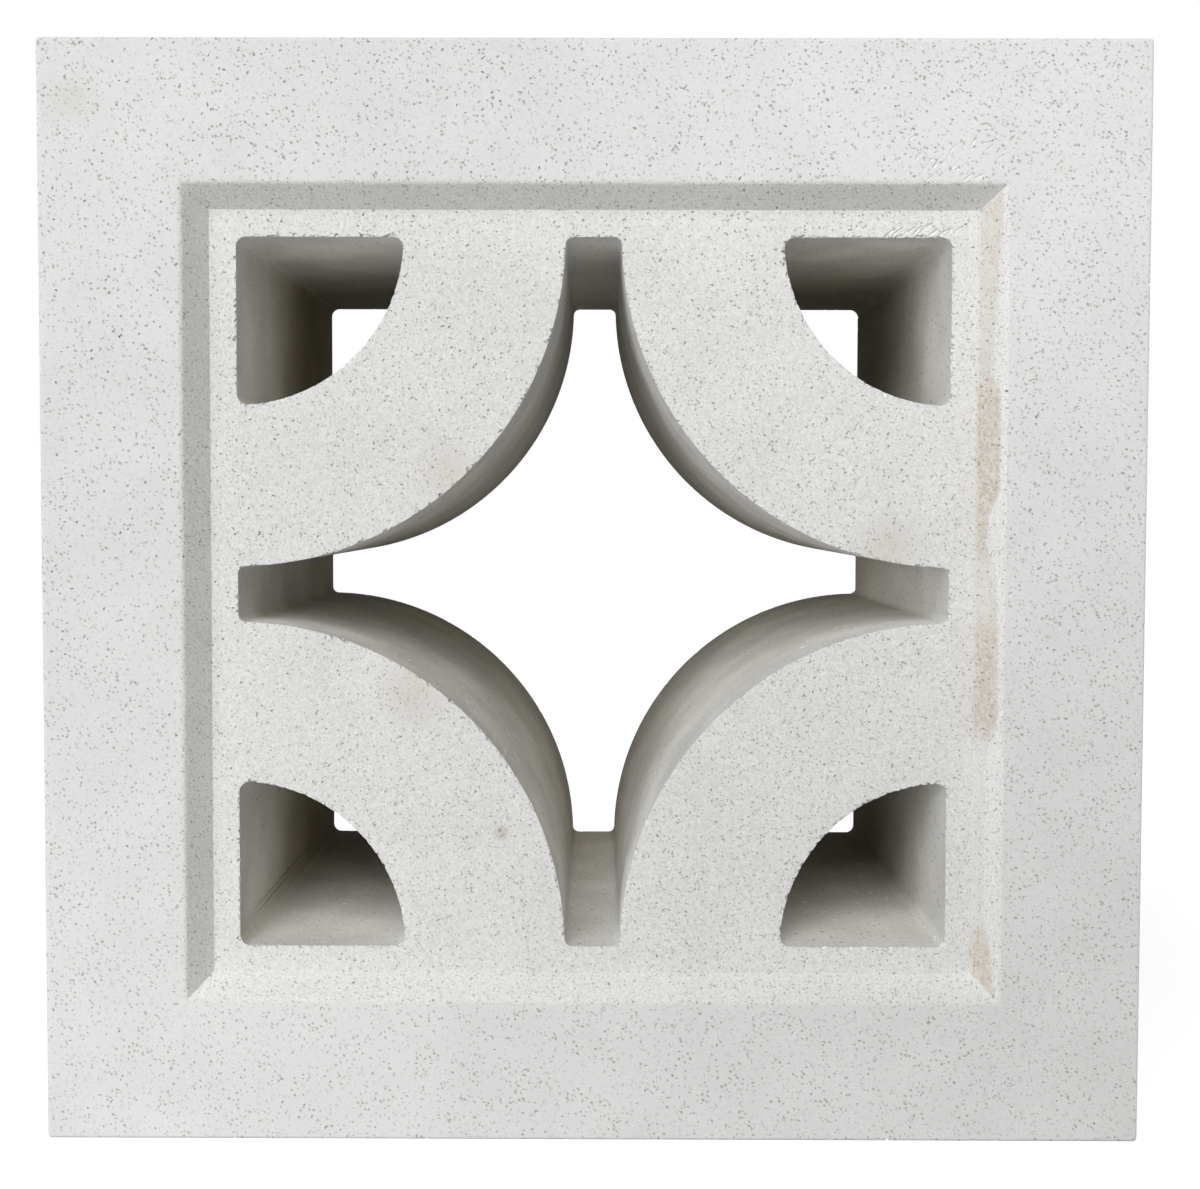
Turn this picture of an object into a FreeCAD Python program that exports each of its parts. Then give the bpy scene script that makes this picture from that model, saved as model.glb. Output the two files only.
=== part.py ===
import FreeCAD, Part
import math
import os
import Sketcher

# Pierced concrete screen block, cast in one piece. All sizes are in millimetres.
# The block stands on its bed face with +Z up, and its patterned face looks along -Y.
# The body is modelled about its own centre, so that its origin planes are its planes of symmetry,
# and its placement then lifts it to stand on Z = 0.

NODE = "screen_block"

DRIVING_SIZES = (
    ("side", 190.0, "width and height of the face: a 200 module less one mortar joint"),
    ("thickness", 90.0, "front to back"),
    ("border", 24.5, "flat frame, from the outer edge to the mouth of the recess"),
    ("splay_width", 3.75, "sloping wall of the recess, seen square on"),
    ("recess_depth", 4.0, "front face to the floor of the recess"),
    ("ledge", 4.65, "flat strip, from the foot of the sloping wall to the openings"),
    ("slot_width", 9.8, "narrow end of each point of the star"),
    ("ring_width", 28.1, "width of each quarter-ring bar"),
    ("slot_tip_radius", 1.4, "rounded corners at the ends of the star's points"),
    ("pocket_radius", 1.8, "rounded corners of the quarter-round openings"),
    ("mouth_radius", 1.2, "eased edge round the mouth of the recess"),
    ("arris_radius", 0.7, "eased outer edges"),
)

DERIVED_SIZES = (
    ("mouth", "side - 2 * border", "side of the square mouth of the recess"),
    ("field", "mouth - 2 * splay_width", "side of the square floor of the recess"),
    ("opening", "field - 2 * ledge", "side of the square that holds all the openings"),
    ("ring_outer", "(opening - slot_width) / 2", "outer radius of the quarter rings"),
    ("ring_inner", "ring_outer - ring_width", "inner radius of the quarter rings"),
)

MATCH = 0.001
FRONT_PLANE = "sizes.thickness / 2"
FIELD_PLANE = "sizes.thickness / 2 - sizes.recess_depth"


def fill_sheet(doc):
    """Writes the sizes into the document's sheet, one row each, and names every cell."""
    sheet = doc.addObject("Spreadsheet::Sheet", "sizes")
    rows = [(name, str(value), note) for name, value, note in DRIVING_SIZES]
    rows += [(name, "=" + formula, note) for name, formula, note in DERIVED_SIZES]
    for row, (name, content, note) in enumerate(rows, start=1):
        sheet.set("A%d" % row, name)
        sheet.set("B%d" % row, content)
        sheet.set("C%d" % row, note)
        sheet.setAlias("B%d" % row, name)
    doc.recompute()
    return sheet


def origin_feature(body, role):
    """Finds one of the body's own planes or axes by its role."""
    return next(item for item in body.Origin.OriginFeatures if item.Role == role)


def face_sketch(body, name, depth=None):
    """Starts a sketch parallel to the patterned face, through the centre or at a depth towards it."""
    sketch = body.newObject("Sketcher::SketchObject", name)
    sketch.AttachmentSupport = [(origin_feature(body, "XZ_Plane"), "")]
    sketch.MapMode = "FlatFace"
    if depth:
        sketch.setExpression("AttachmentOffset.Base.z", depth)
    return sketch


def bind(sketch, expression, *constraint):
    """Adds one dimension to a sketch and ties it to the sheet."""
    index = sketch.addConstraint(Sketcher.Constraint(*constraint))
    sketch.setExpression("Constraints[%d]" % index, expression)


def draw_square(sketch, side, expression, construction=False):
    """Draws a square about the sketch's origin, as lines 0 to 3, anticlockwise from the lower left."""
    half = side / 2
    corners = [FreeCAD.Vector(x * half, y * half) for x, y in ((-1, -1), (1, -1), (1, 1), (-1, 1))]
    for index in range(4):
        sketch.addGeometry(Part.LineSegment(corners[index], corners[(index + 1) % 4]), construction)
    for index in range(4):
        sketch.addConstraint(Sketcher.Constraint("Coincident", index, 2, (index + 1) % 4, 1))
        direction = "Horizontal" if index % 2 == 0 else "Vertical"
        sketch.addConstraint(Sketcher.Constraint(direction, index))
    sketch.addConstraint(Sketcher.Constraint("Equal", 0, 1))
    sketch.addConstraint(Sketcher.Constraint("Symmetric", 0, 1, 1, 2, -1, 1))
    bind(sketch, expression, "DistanceX", 0, 1, 0, 2, side)
    return corners


def draw_star(sketch, sheet):
    """Draws the star: four arcs about the corners of the openings' square, joined by the slot ends."""
    corners = draw_square(sketch, sheet.opening, "sizes.opening", construction=True)
    arcs = []
    for index, corner in enumerate(corners):
        start = index * math.pi / 2
        circle = Part.Circle(corner, FreeCAD.Vector(0, 0, 1), sheet.ring_outer)
        arc = sketch.addGeometry(Part.ArcOfCircle(circle, start, start + math.pi / 2))
        sketch.addConstraint(Sketcher.Constraint("Coincident", arc, 3, index, 1))
        sketch.addConstraint(Sketcher.Constraint("PointOnObject", arc, 1, index))
        sketch.addConstraint(Sketcher.Constraint("PointOnObject", arc, 2, (index + 3) % 4))
        if arcs:
            sketch.addConstraint(Sketcher.Constraint("Equal", arcs[0], arc))
        arcs.append(arc)
    bind(sketch, "sizes.ring_outer", "Radius", arcs[0], sheet.ring_outer)
    for index, arc in enumerate(arcs):
        following = arcs[(index + 1) % 4]
        first = sketch.getPoint(arc, 1)
        second = sketch.getPoint(following, 2)
        slot_end = sketch.addGeometry(Part.LineSegment(first, second))
        sketch.addConstraint(Sketcher.Constraint("Coincident", slot_end, 1, arc, 1))
        sketch.addConstraint(Sketcher.Constraint("Coincident", slot_end, 2, following, 2))


def draw_quarter_round(sketch, sheet):
    """Draws the quarter disc inside one ring: two straight sides and the arc about their corner."""
    reach = sheet.opening / 2
    radius = sheet.ring_inner
    corner = FreeCAD.Vector(reach, reach)
    along = FreeCAD.Vector(reach - radius, reach)
    down = FreeCAD.Vector(reach, reach - radius)
    top = sketch.addGeometry(Part.LineSegment(corner, along))
    circle = Part.Circle(corner, FreeCAD.Vector(0, 0, 1), radius)
    arc = sketch.addGeometry(Part.ArcOfCircle(circle, math.pi, 3 * math.pi / 2))
    upright = sketch.addGeometry(Part.LineSegment(down, corner))
    for first, first_end, second, second_end in (
        (top, 1, upright, 2),
        (top, 2, arc, 1),
        (arc, 2, upright, 1),
        (arc, 3, top, 1),
    ):
        sketch.addConstraint(Sketcher.Constraint("Coincident", first, first_end, second, second_end))
    sketch.addConstraint(Sketcher.Constraint("Horizontal", top))
    sketch.addConstraint(Sketcher.Constraint("Vertical", upright))
    bind(sketch, "sizes.ring_inner", "Radius", arc, radius)
    bind(sketch, "sizes.opening / 2", "DistanceX", -1, 1, top, 1, reach)
    bind(sketch, "sizes.opening / 2", "DistanceY", -1, 1, top, 1, reach)


def cut_through(body, name, sketch):
    """Cuts a sketch straight through the block, both ways from its middle plane."""
    pocket = body.newObject("PartDesign::Pocket", name)
    pocket.Profile = sketch
    pocket.Type = "ThroughAll"
    pocket.Midplane = True
    return pocket


def round_edges(body, name, base, chosen, radius):
    """Rounds those edges of the base feature whose two ends satisfy the test given as chosen."""
    edges = []
    for index, edge in enumerate(base.Shape.Edges, start=1):
        ends = [vertex.Point for vertex in edge.Vertexes]
        if len(ends) == 2 and chosen(*ends):
            edges.append("Edge%d" % index)
    if not edges:
        raise RuntimeError("no edges found for " + name)
    fillet = body.newObject("PartDesign::Fillet", name)
    fillet.Base = (base, edges)
    fillet.setExpression("Radius", "sizes." + radius)
    body.Document.recompute()
    return fillet


def same(first, second):
    """Compares two lengths."""
    return abs(first - second) < MATCH


def across_depth(first, second):
    """True for an edge that runs straight from front to back."""
    return same(first.x, second.x) and same(first.z, second.z)


def at_place(point, places):
    """True where a point's distances from the block's two centre planes are one of the places."""
    return any(same(abs(point.x), x) and same(abs(point.z), z) for x, z in places)


def build_block(doc, sheet):
    """Builds the block as one body: a slab, its splayed recess, the openings and the eased edges."""
    body = doc.addObject("PartDesign::Body", NODE)
    body.Label = NODE
    body.setExpression("Placement.Base.z", "sizes.side / 2")

    # Square slab
    outline = face_sketch(body, "outline")
    draw_square(outline, sheet.side, "sizes.side")
    slab = body.newObject("PartDesign::Pad", "slab")
    slab.Profile = outline
    slab.Midplane = True
    slab.setExpression("Length", "sizes.thickness")

    # Shallow recess whose four sloping walls meet in mitres
    mouth = face_sketch(body, "recess_mouth", FRONT_PLANE)
    draw_square(mouth, sheet.mouth, "sizes.mouth")
    floor = face_sketch(body, "recess_floor", FIELD_PLANE)
    draw_square(floor, sheet.field, "sizes.field")
    recess = body.newObject("PartDesign::SubtractiveLoft", "splayed_recess")
    recess.Profile = mouth
    recess.Sections = [floor]
    recess.Ruled = True
    doc.recompute()

    # Star in the middle
    star = face_sketch(body, "star_outline")
    draw_star(star, sheet)
    cut_through(body, "star_opening", star)
    doc.recompute()

    # One quarter-round opening inside each ring
    quarter = face_sketch(body, "quarter_round_outline")
    draw_quarter_round(quarter, sheet)
    opening = cut_through(body, "quarter_round_opening", quarter)
    doc.recompute()
    openings = body.newObject("PartDesign::PolarPattern", "quarter_round_openings")
    openings.Originals = [opening]
    openings.Axis = (origin_feature(body, "Y_Axis"), [""])
    openings.Angle = 360
    openings.Occurrences = 4
    body.Tip = openings
    doc.recompute()

    # Rounded inner corners of the openings
    reach = sheet.opening / 2
    half_slot = sheet.slot_width / 2
    arc_end = reach - sheet.ring_inner
    tips = ((half_slot, reach), (reach, half_slot))
    pockets = ((reach, reach), (arc_end, reach), (reach, arc_end))

    def at_slot_tip(first, second):
        return across_depth(first, second) and at_place(first, tips)

    def at_pocket_corner(first, second):
        return across_depth(first, second) and at_place(first, pockets)

    rounded_tips = round_edges(body, "slot_tip_rounds", openings, at_slot_tip, "slot_tip_radius")
    rounded_pockets = round_edges(body, "pocket_rounds", rounded_tips, at_pocket_corner, "pocket_radius")

    # Eased edges of the recess mouth and of the whole block
    front = -sheet.thickness / 2
    half_mouth = sheet.mouth / 2
    half_side = sheet.side / 2

    def on_mouth(first, second):
        ends = (first, second)
        return all(same(end.y, front) and at_place(end, ((half_mouth, half_mouth),)) for end in ends)

    def on_outside(first, second):
        return all(at_place(end, ((half_side, half_side),)) for end in (first, second))

    eased_mouth = round_edges(body, "eased_mouth", rounded_pockets, on_mouth, "mouth_radius")
    round_edges(body, "eased_arrises", eased_mouth, on_outside, "arris_radius")
    return body


def expected_volume(sheet):
    """Volume of the block with all its edges left sharp, in cubic millimetres."""
    slab = sheet.side ** 2 * sheet.thickness
    areas = sheet.mouth ** 2 + sheet.field ** 2 + sheet.mouth * sheet.field
    recess = sheet.recess_depth * areas / 3
    star = sheet.opening ** 2 - math.pi * sheet.ring_outer ** 2
    quarter_rounds = math.pi * sheet.ring_inner ** 2
    return slab - recess - (star + quarter_rounds) * (sheet.thickness - sheet.recess_depth)


def check(doc, body, sheet):
    """Stops the build if any feature failed, or if the solid isn't the one that the sizes describe."""
    for item in doc.Objects:
        failed = {"Invalid", "Error"} & set(item.State)
        if failed:
            raise RuntimeError("%s failed: %s" % (item.Name, ", ".join(sorted(failed))))
    shape = body.Shape
    if shape.isNull() or not shape.isValid() or len(shape.Solids) != 1:
        raise RuntimeError("the block isn't one valid solid")
    ratio = shape.Volume / expected_volume(sheet)
    if not 0.99 < ratio < 1.01:
        raise RuntimeError("the block's volume is %.4f of the volume that its sizes give" % ratio)
    print("%s: %.1f cm3, %.4f of the sharp-edged volume" % (body.Label, shape.Volume / 1000, ratio))


def main():
    """Builds the document, checks it and writes the block's file."""
    doc = FreeCAD.newDocument("pierced_screen_block")
    sheet = fill_sheet(doc)
    body = build_block(doc, sheet)
    doc.recompute()
    check(doc, body, sheet)
    os.makedirs("parts", exist_ok=True)
    body.Shape.exportStep("parts/%s.step" % body.Label)


main()
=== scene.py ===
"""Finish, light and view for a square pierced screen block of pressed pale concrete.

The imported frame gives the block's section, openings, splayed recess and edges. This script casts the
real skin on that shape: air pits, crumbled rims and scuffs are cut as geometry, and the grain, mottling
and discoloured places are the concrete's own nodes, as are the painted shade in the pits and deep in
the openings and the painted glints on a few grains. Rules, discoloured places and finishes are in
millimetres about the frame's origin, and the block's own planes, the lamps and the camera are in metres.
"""

import itertools
import logging
import math
from dataclasses import dataclass, field
from enum import Enum, IntEnum
from typing import Iterable, Optional, Union

import bmesh
import bpy
from bmesh.types import BMesh, BMVert
from bpy.types import Material, Mesh, Node, NodeOutputs, NodeSocket, NodeTree
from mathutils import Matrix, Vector
from mathutils.bvhtree import BVHTree


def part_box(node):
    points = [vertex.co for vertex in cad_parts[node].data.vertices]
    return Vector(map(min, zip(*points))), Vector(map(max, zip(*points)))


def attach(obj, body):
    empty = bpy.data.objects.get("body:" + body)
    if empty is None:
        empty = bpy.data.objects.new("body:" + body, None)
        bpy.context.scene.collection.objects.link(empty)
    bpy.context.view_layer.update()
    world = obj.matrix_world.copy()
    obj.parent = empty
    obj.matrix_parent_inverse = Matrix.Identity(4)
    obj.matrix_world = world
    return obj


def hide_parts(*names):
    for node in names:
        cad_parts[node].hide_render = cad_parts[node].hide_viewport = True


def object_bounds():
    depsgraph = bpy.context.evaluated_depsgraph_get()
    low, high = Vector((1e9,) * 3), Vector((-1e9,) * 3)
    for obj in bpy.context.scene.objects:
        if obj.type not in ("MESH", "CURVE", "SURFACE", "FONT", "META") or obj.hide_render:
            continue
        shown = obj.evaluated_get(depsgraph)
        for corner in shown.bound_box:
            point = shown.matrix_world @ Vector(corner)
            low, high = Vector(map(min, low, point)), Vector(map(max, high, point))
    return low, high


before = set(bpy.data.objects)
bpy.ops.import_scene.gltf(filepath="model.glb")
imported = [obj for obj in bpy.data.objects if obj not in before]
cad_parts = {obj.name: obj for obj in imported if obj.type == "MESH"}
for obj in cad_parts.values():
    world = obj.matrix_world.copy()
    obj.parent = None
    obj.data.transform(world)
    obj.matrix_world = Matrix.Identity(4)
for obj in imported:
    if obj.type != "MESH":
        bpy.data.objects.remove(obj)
CAD_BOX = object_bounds()

LOG = logging.getLogger("screen_block")
MM = 0.001
NODE = "screen_block"
BODY = "root"
PICTURE_WIDTH = 1200
PICTURE_HEIGHT = 1189
WHITE = (1.0, 1.0, 1.0, 1.0)
MERGE_DISTANCE = 0.001 * MM

# Limits on a face's normal and place that tell which surface of the block it belongs to.
FACING = 0.999
UPRIGHT = 0.001
STEEP = 0.5
FACING_SIDE = 0.7
TOUCH = 0.01 * MM
ARRIS = 1.5 * MM
OUTER_MARGIN = 10.0 * MM
TIP_MARGIN = 4.0 * MM

Triple = tuple[float, float, float]
Colour = Triple
Place = tuple[float, float]
Feed = Union[NodeSocket, float, int, bool, str, tuple]
Feeds = dict[str, Feed]


class Skin(Enum):
    """The kinds of surface that the mould leaves on the block."""

    BORDER = "border"
    SPLAY = "splay"
    FIELD = "field"
    WALL = "wall"
    SIDE = "side"
    BACK = "back"


class Draw(IntEnum):
    """Numbers that set the random draws of the cutting tree apart."""

    PIT_SIZE = 1
    PIT_STRETCH = 2
    PIT_DEPTH = 3
    PIT_TURN = 4
    PIT_MOULD = 10
    CRUMB_SHAPE = 30
    GROOVE_SHAPE = 31
    BITE_SHIFT = 40
    BITE_SIZE = 41
    BITE_LENGTH = 42
    BITE_CHANCE = 43
    BITE_TURN = 44
    SCRATCH = 60
    SCRATCH_STEP = 10


def socket_of(sockets: Iterable[NodeSocket], key: str) -> NodeSocket:
    """Find a socket by its identifier, or else by its name.

    Args:
        sockets: The inputs or outputs of one node.
        key: The socket's identifier or name.

    Returns:
        The first socket that fits.
    """
    listed = list(sockets)
    for socket in listed:
        if socket.identifier == key:
            return socket
    return next(socket for socket in listed if socket.name == key)


@dataclass
class Wiring:
    """Sets nodes into one tree and joins their sockets.

    Args:
        tree: The geometry or shader tree to fill.
    """

    tree: NodeTree

    @classmethod
    def emptied(cls, owner: Union[Material, bpy.types.World]) -> "Wiring":
        """Clear a material's or a world's tree.

        Args:
            owner: The material or the world.

        Returns:
            The wiring of its tree, with no node in it yet.
        """
        owner.use_nodes = True
        owner.node_tree.nodes.clear()
        return cls(owner.node_tree)

    def node(self, kind: str, feeds: Optional[Feeds] = None, **settings: object) -> Node:
        """Add one node, set its choices and feed its inputs.

        Args:
            kind: The node's type name.
            feeds: Values or sockets for its inputs, by identifier or name.
            settings: The node's own properties.

        Returns:
            The new node.
        """
        made = self.tree.nodes.new(kind)
        for name, setting in settings.items():
            setattr(made, name, setting)
        for key, feed in (feeds or {}).items():
            self.feed(socket_of(made.inputs, key), feed)
        return made

    def feed(self, socket: NodeSocket, feed: Feed) -> None:
        """Link an input to the socket that feeds it, or set its plain value.

        Args:
            socket: The input.
            feed: What feeds it.
        """
        if isinstance(feed, NodeSocket):
            self.tree.links.new(feed, socket)
        else:
            socket.default_value = feed

    def out(self, kind: str, output: str, feeds: Optional[Feeds] = None, **settings: object) -> NodeSocket:
        """Add one node, as node does, and return one of its outputs."""
        return socket_of(self.node(kind, feeds, **settings).outputs, output)

    def group(self, tree: NodeTree, **feeds: Feed) -> NodeOutputs:
        """Place a shader node group, feed its inputs by name and return its outputs."""
        return self.node("ShaderNodeGroup", feeds, node_tree=tree).outputs

    def math(self, operation: str, first: Feed, second: Feed = 0.0) -> NodeSocket:
        """Return the value of a Math node on one or two feeds."""
        feeds = {"Value": first, "Value_001": second}
        return self.out("ShaderNodeMath", "Value", feeds, operation=operation)

    def plus(self, first: Feed, second: Feed) -> NodeSocket:
        """Return the sum of two numbers."""
        return self.math("ADD", first, second)

    def minus(self, first: Feed, second: Feed) -> NodeSocket:
        """Return the first number less the second."""
        return self.math("SUBTRACT", first, second)

    def times(self, first: Feed, *others: Feed) -> NodeSocket:
        """Multiply two or more numbers.

        Args:
            first: The first number.
            others: The numbers that it is multiplied by.

        Returns:
            The product.
        """
        for other in others:
            first = self.math("MULTIPLY", first, other)
        return first

    def raised(self, base: Feed, *changes: tuple[Feed, float]) -> NodeSocket:
        """Change a value where masks show.

        Args:
            base: The value where no mask shows.
            changes: Each mask and what it adds in full.

        Returns:
            The changed value.
        """
        for mask, change in changes:
            base = self.plus(base, self.times(mask, change))
        return base

    def vector(self, operation: str, first: Feed, second: Feed) -> NodeSocket:
        """Return the vector of a Vector Math node on two vectors."""
        feeds = {"Vector": first, "Vector_001": second}
        return self.out("ShaderNodeVectorMath", "Vector", feeds, operation=operation)

    def scaled(self, vector: Feed, scale: Feed) -> NodeSocket:
        """Return a vector times a number."""
        feeds = {"Vector": vector, "Scale": scale}
        return self.out("ShaderNodeVectorMath", "Vector", feeds, operation="SCALE")

    def joined(self, x: Feed, y: Feed, z: Feed) -> NodeSocket:
        """Return the vector of three numbers."""
        return self.out("ShaderNodeCombineXYZ", "Vector", {"X": x, "Y": y, "Z": z})

    def parts(self, vector: Feed) -> tuple[NodeSocket, ...]:
        """Return a vector's three numbers."""
        return tuple(self.node("ShaderNodeSeparateXYZ", {"Vector": vector}).outputs)

    def fade(self, value: Feed, start: Feed, end: Feed, low: Feed = 0.0, high: Feed = 1.0) -> NodeSocket:
        """Return a smooth step from low at start to high at end."""
        feeds = {"Value": value, "From Min": start, "From Max": end, "To Min": low, "To Max": high}
        return self.out("ShaderNodeMapRange", "Result", feeds, interpolation_type="SMOOTHSTEP")

    def mix(self, share: Feed, first: Feed, second: Feed) -> NodeSocket:
        """Return a mix of two colours."""
        feeds = {"Factor_Float": share, "A_Color": first, "B_Color": second}
        return self.out("ShaderNodeMix", "Result_Color", feeds, data_type="RGBA")


def opaque(colour: Colour) -> tuple[float, float, float, float]:
    """Return a colour with full alpha."""
    return (*colour, 1.0)


@dataclass(frozen=True)
class BlockForm:
    """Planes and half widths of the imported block, in metres, read from its mesh.

    Args:
        front: Y of the border face.
        field: Y of the recessed field.
        back: Y of the plain back.
        middle: Z of the block's centre.
        half: Half of the block's side.
        mouth: Half width of the recess at the border face.
        floor: Half width of the field.
        opening: Half width of the square that holds the openings.
        ring_outer: Radius of the quarter rings on the star's side.
        ring_inner: Radius of the quarter rings on the corner's side.
    """

    front: float
    field: float
    back: float
    middle: float
    half: float
    mouth: float
    floor: float
    opening: float
    ring_outer: float
    ring_inner: float

    @classmethod
    def read(cls, block: BMesh) -> "BlockForm":
        """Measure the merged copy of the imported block.

        Args:
            block: The copy, with its doubles merged.

        Returns:
            The block's planes and half widths.
        """
        lowest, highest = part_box(NODE)
        middle = (lowest.z + highest.z) / 2
        half = highest.x
        facing = [face for face in block.faces if face.normal.y < -FACING]
        field_y = max(face.calc_center_median().y for face in facing)
        split = (lowest.y + field_y) / 2

        def reach(vert: BMVert) -> float:
            """Return how far a corner lies from the block's middle, as half of a square."""
            return max(abs(vert.co.x), abs(vert.co.z - middle))

        border = [vert for face in facing if face.calc_center_median().y < split for vert in face.verts]
        floor = [vert for face in facing if face.calc_center_median().y > split for vert in face.verts]
        inner = [face for face in block.faces if abs(face.normal.y) < UPRIGHT]
        walls = [vert for face in inner for vert in face.verts if reach(vert) < half - OUTER_MARGIN]
        opening = max(reach(vert) for vert in walls)
        radii = [
            math.hypot(opening - abs(vert.co.x), opening - abs(vert.co.z - middle))
            for vert in walls
            if reach(vert) < opening - TIP_MARGIN
        ]
        return cls(
            front=lowest.y,
            field=field_y,
            back=highest.y,
            middle=middle,
            half=half,
            mouth=min(reach(vert) for vert in border),
            floor=max(reach(vert) for vert in floor),
            opening=opening,
            ring_outer=max(radii),
            ring_inner=min(radii),
        )

    def skin(self, centre: Vector, normal: Vector) -> Skin:
        """Name the surface that a face of the block belongs to.

        Args:
            centre: The face's centre.
            normal: The face's normal.

        Returns:
            The kind of surface.
        """
        reach = max(abs(centre.x), abs(centre.z - self.middle))
        if reach < self.opening + TOUCH and abs(normal.y) < STEEP:
            return Skin.WALL
        if reach > self.half - ARRIS and abs(normal.y) < STEEP:
            return Skin.SIDE
        if normal.y > 0:
            return Skin.BACK
        if reach > self.mouth:
            return Skin.BORDER
        return Skin.FIELD if reach < self.floor else Skin.SPLAY

    def in_star(self, centre: Vector) -> bool:
        """Tell whether a place on a wall lies in the star, and not in a quarter-round opening.

        Args:
            centre: The place.

        Returns:
            Whether it lies in the star.
        """
        across = self.opening - abs(centre.x)
        up = self.opening - abs(centre.z - self.middle)
        return math.hypot(across, up) > (self.ring_outer + self.ring_inner) / 2


@dataclass(frozen=True)
class Scuff:
    """A patch of slanting scratches where the block was rubbed in the green state.

    Args:
        centre: X and Z of the patch.
        size: Width and height of the patch.
        count: Number of scratches.
        length: Longest scratch.
        width: Widest scratch.
        depth: Depth of the deepest scratch.
        lean: Angle of the scratches from level, in degrees.
        recessed: Whether the patch is on the field and not on the border.
        sway: How far a scratch may stray from that angle, in degrees.
        shortest: Share of the greatest length that the shortest scratch has.
        slimmest: Share of the greatest width and depth that the slightest scratch has.
        stray: Part of its own step, from 0 to 1, within which a scratch lies.
    """

    centre: Place
    size: Place
    count: int
    length: float
    width: float
    depth: float
    lean: float
    recessed: bool
    sway: float = 14.0
    shortest: float = 0.45
    slimmest: float = 0.5
    stray: Place = (0.1, 0.9)


@dataclass(frozen=True)
class PitRule:
    """How the air pits are spread and sized, in millimetres.

    Args:
        smallest: Width of the smallest pit.
        largest: Width of the largest pit.
        bias: Power that makes small pits commoner than large ones.
        stretch: Least and greatest factor by which a pit is drawn out in length and narrowed in width.
        depth: Least and greatest depth as a share of the width.
        sides: Sides of each pit mould.
        proud: How far a mould stands out of the face, in pit depths.
        unevenness: How far a mould's corners may move along each axis, in pit widths.
        shaded: Depth from which a pit gets its painted shade in full.
        clump: Size of the clumps that the pits gather in.
        clump_edges: Noise between a thin place and a clump.
        clump_rates: Factors on the number of pits in a thin place and in a clump.
        drift: How much thicker the pits lie at the right edge, and at the top edge, than in the middle.
        rates: Pits on each square millimetre of a kind of surface.
        scales: How much larger or smaller the pits are on a kind of surface.
    """

    smallest: float = 0.22
    largest: float = 0.62
    bias: float = 1.6
    stretch: Place = (1.0, 1.32)
    depth: Place = (0.5, 0.95)
    sides: tuple[int, ...] = (4, 4, 4, 4, 5, 5)
    proud: float = 0.5
    unevenness: Triple = (0.2, 0.2, 0.12)
    shaded: float = 0.3
    clump: float = 4.5
    clump_edges: Place = (0.34, 0.66)
    clump_rates: Place = (0.3, 1.7)
    drift: Place = (0.5, -0.05)
    rates: dict[Skin, float] = field(default_factory=lambda: {
        Skin.BORDER: 0.38,
        Skin.SPLAY: 0.25,
        Skin.FIELD: 0.40,
        Skin.WALL: 0.012,
        Skin.SIDE: 0.008,
        Skin.BACK: 0.008,
    })
    scales: dict[Skin, float] = field(default_factory=lambda: {
        Skin.BORDER: 1.0,
        Skin.SPLAY: 1.0,
        Skin.FIELD: 0.92,
        Skin.WALL: 2.0,
        Skin.SIDE: 1.5,
        Skin.BACK: 1.5,
    })


@dataclass(frozen=True)
class RimRule:
    """How the sharp rims crumble, in millimetres.

    Args:
        spacing: Step between the places where a crumb may be missing.
        shift: How far such a place may lie off the rim along each axis.
        smallest: Half width of the smallest bite.
        largest: Half width of the largest bite.
        bias: Power that makes small bites commoner than large ones.
        stretch: Least and greatest length of a bite as a share of its width.
        lump: Width of a crumb's mould, in bite half widths.
        unevenness: How far the corners of that mould may move, in bite half widths.
        front_share: Share of places bitten on the rims of the openings at the front.
        back_share: Share of places bitten on their rims at the back.
        arris_share: Share of places bitten along the block's outer edges.
        marked: Share from which an edge counts as a rim.
    """

    spacing: float = 0.55
    shift: float = 0.14
    smallest: float = 0.16
    largest: float = 0.5
    bias: float = 2.0
    stretch: Place = (1.0, 1.9)
    lump: float = 1.5
    unevenness: float = 0.3
    front_share: float = 0.9
    back_share: float = 0.12
    arris_share: float = 0.09
    marked: float = 0.01


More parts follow.
